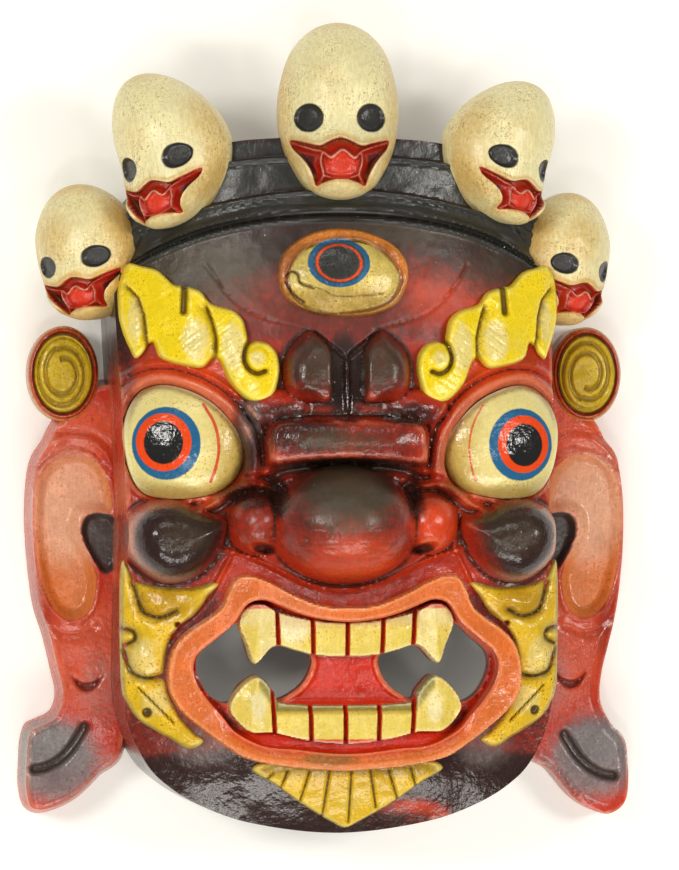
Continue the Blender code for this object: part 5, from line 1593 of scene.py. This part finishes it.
class MaskSkulls(bpy.types.Operator):
    """Carve the five skulls of the crown."""
    bl_idname = "wrathful_mask.skulls"
    bl_label = "Skulls"

    def execute(self, context):
        paints = settings()[1]
        material = paint_material("bone_enamel", paints.bone[:], [
            ("age", 0.1, 1.1, "#CF9A2C", 0.75, 0.8),
            ("socket", -0.35, 0.35, "#2E2D2B", 1.0, 0.5),
            ("mouth", -0.35, 0.35, "#B0230F", 1.0, 0.45),
            ("tongue", 0.2, 0.9, "#DE3A1C", 0.9, 0.4),
            ("throat", 0.2, 0.9, "#3A1410", 0.85, 0.5)],
            gloss=0.3, mottle=0.1, fleck=("#B8924A", 0.8), cracks=0.75, hollow_grime_and_shade=("#7A5A20", 0.3, 1.3, 0.6),
            ridge_wear_and_highlight=("#F7F0CE", 0.4, 1.2, 0.4), specks=0.1)
        for name, pose in SKULLS.items():
            self.skull(name + "_skull", pose, material)
        return {"FINISHED"}

    def skull(self, name, pose, material):
        """Egg with eye sockets, a torn red mouth, cheeks and a chin."""
        centre, depth, half_width, half_height, lean, turn, chin, bend = pose
        sectors = 220
        front = 76
        behind = 16
        angles = np.linspace(0.0, 2.0 * math.pi, sectors, endpoint=False)
        tilts = np.concatenate([np.linspace(0.0, math.pi / 2, front + 1)[1:],
                                np.linspace(math.pi / 2, math.pi, behind + 1)[1:-1]])
        grid = np.concatenate([np.column_stack([np.sin(tilt) * np.cos(angles), np.sin(tilt) * np.sin(angles),
                                                np.full(sectors, np.cos(tilt))]) for tilt in tilts])
        unit = np.vstack([[(0.0, 0.0, 1.0)], grid, [(0.0, 0.0, -1.0)]])
        x, y, z = unit.T
        # The skull that stands upright has a broader brow than those that are bent outwards
        blunt = 0.07 if bend == 0.0 else -0.05
        x = x * (1.0 + blunt * smooth_step(y, 0.3, 0.95) + 0.12 * smooth_step(-y, 0.65, 1.0))
        z = np.where(z < 0, z * 0.9, z)
        fx = x * SKULL_FACE_HALF[0]
        fy = y * SKULL_FACE_HALF[1]
        is_front = z > 0
        dent, values = skull_face(fx, fy, is_front)
        dent = dent + chin * smooth_step(-fy, 2.0, 33.0)
        dent = np.where(is_front, dent * smooth_step(z, 0.0, 0.25), 0.0)
        dent = dent * half_width / SKULL_FACE_HALF[0]
        places = np.column_stack([x * half_width, y * half_height, z * half_width + dent])
        rotation = Matrix.Rotation(math.radians(lean), 3, "Z") @ Matrix.Rotation(math.radians(turn), 3, "Y")
        places = places @ np.array(rotation).T + (centre[0], centre[1], depth)
        places[:, 0] += bend * np.abs(y) ** 1.5
        within = inside_distance(hollow_outline(3.0), places[:, 0], places[:, 1], 3.0) > -1.5
        if within.any():
            lifted = hollow_height(places[within, 0], places[within, 1]) + 2.0
            places[within, 2] = np.maximum(places[within, 2], lifted)
        # The two low skulls take the most ochre tint
        values["age"] = np.where(is_front, values["age"] + 0.3 * (depth < 40.0), 0.35)
        shell = Shell()
        numbers = shell.add_points(places, values)
        rows = numbers[1:-1].reshape(len(tilts), sectors)
        shell.add_faces(fan(numbers[0], rows[0]))
        for first, second in zip(rows, rows[1:]):
            shell.add_faces(bridge(first, second))
        shell.add_faces(fan(numbers[-1], rows[-1])[:, ::-1])
        shell.make(name, [material])


class MaskStage(bpy.types.Operator):
    """Lay the floor, hang the lights and set up the camera."""
    bl_idname = "wrathful_mask.stage"
    bl_label = "Stage"

    def execute(self, context):
        scene = context.scene
        scene.view_settings.view_transform = "Standard"
        mesh = bpy.data.meshes.new("floor")
        corners = [(x * FLOOR_REACH, y * FLOOR_REACH, -FLOOR_DROP)
                   for x, y in ((-1, -1), (1, -1), (1, 1), (-1, 1))]
        mesh.from_pydata(corners, [], [(0, 1, 2, 3)])
        floor = bpy.data.objects.new("floor", mesh)
        scene.collection.objects.link(floor)
        material = bpy.data.materials.new("pale_card")
        material.use_nodes = True
        shader = material.node_tree.nodes["Principled BSDF"]
        shader.inputs["Base Color"].default_value = linear("#ECEAE6")
        shader.inputs["Roughness"].default_value = 0.9
        shader.inputs["Emission Color"].default_value = linear("#FBFAF0")
        # The card glows all round as painted bounce light, and the glow is left out under the hollow of the
        # mask as a painted shadow
        tree = material.node_tree
        spot = add_node(tree, "ShaderNodeTexCoord").outputs["Object"]
        spot = add_node(tree, "ShaderNodeVectorMath", {"operation": "MULTIPLY", 1: (10.5, 7.5, 0.0)},
                        {0: spot}).outputs[0]
        spot = add_node(tree, "ShaderNodeVectorMath", {"operation": "LENGTH"}, {0: spot}).outputs["Value"]
        glow = add_node(tree, "ShaderNodeMapRange",
                        {"From Min": 0.8, "From Max": 1.5, "To Min": 0.05, "To Max": 0.3},
                        {"Value": spot}).outputs[0]
        tree.links.new(glow, shader.inputs["Emission Strength"])
        mesh.materials.append(material)
        world = bpy.data.worlds.new("studio")
        world.use_nodes = True
        world.node_tree.nodes["Background"].inputs["Color"].default_value = linear("#FBFAF8")
        world.node_tree.nodes["Background"].inputs["Strength"].default_value = 0.22
        scene.world = world
        for name, place, width, height, power in LIGHTS:
            data = bpy.data.lights.new(name, "AREA")
            data.shape = "RECTANGLE"
            data.size = width
            data.size_y = height
            data.energy = power
            data.color = linear("#FFFCF6")[:3]
            light = bpy.data.objects.new(name, data)
            light.location = place
            aim = Vector(LIGHT_TARGET) - Vector(place)
            light.rotation_euler = aim.to_track_quat("-Z", "Y").to_euler()
            scene.collection.objects.link(light)
        data = bpy.data.cameras.new("camera")
        data.sensor_fit = "HORIZONTAL"
        data.sensor_width = 36.0
        data.lens = CAMERA_LENS
        camera = bpy.data.objects.new("camera", data)
        camera.location = CAMERA_PLACE
        camera.rotation_euler = (0.0, CAMERA_TURN, 0.0)
        scene.collection.objects.link(camera)
        scene.camera = camera
        return {"FINISHED"}


class MaskPanel(bpy.types.Panel):
    """Lists the pieces of the mask in the sidebar."""
    bl_idname = "VIEW3D_PT_wrathful_mask"
    bl_label = "Wrathful mask"
    bl_space_type = "VIEW_3D"
    bl_region_type = "UI"
    bl_category = "Mask"

    def draw(self, context):
        for piece in PIECES:
            self.layout.operator(piece.bl_idname)
        for group in (context.scene.mask_sizes, context.scene.mask_colours):
            box = self.layout.box()
            for name in group.__annotations__:
                box.prop(group, name)


PIECES = (MaskHead, MaskThirdEye, MaskEyes, MaskBrows, MaskMouth, MaskBeard, MaskEars, MaskSkulls, MaskStage)
CLASSES = (MaskSizes, MaskColours) + PIECES + (MaskPanel,)


def register():
    """Make the settings, the pieces and the panel known to Blender."""
    for item in CLASSES:
        bpy.utils.register_class(item)
    bpy.types.Scene.mask_sizes = bpy.props.PointerProperty(type=MaskSizes)
    bpy.types.Scene.mask_colours = bpy.props.PointerProperty(type=MaskColours)


def unregister():
    """Take them away again."""
    del bpy.types.Scene.mask_colours
    del bpy.types.Scene.mask_sizes
    for item in reversed(CLASSES):
        bpy.utils.unregister_class(item)


def main():
    """Build every piece."""
    register()
    for piece in PIECES:
        group, name = piece.bl_idname.split(".")
        getattr(getattr(bpy.ops, group), name)()


if __name__ == "__main__":
    main()
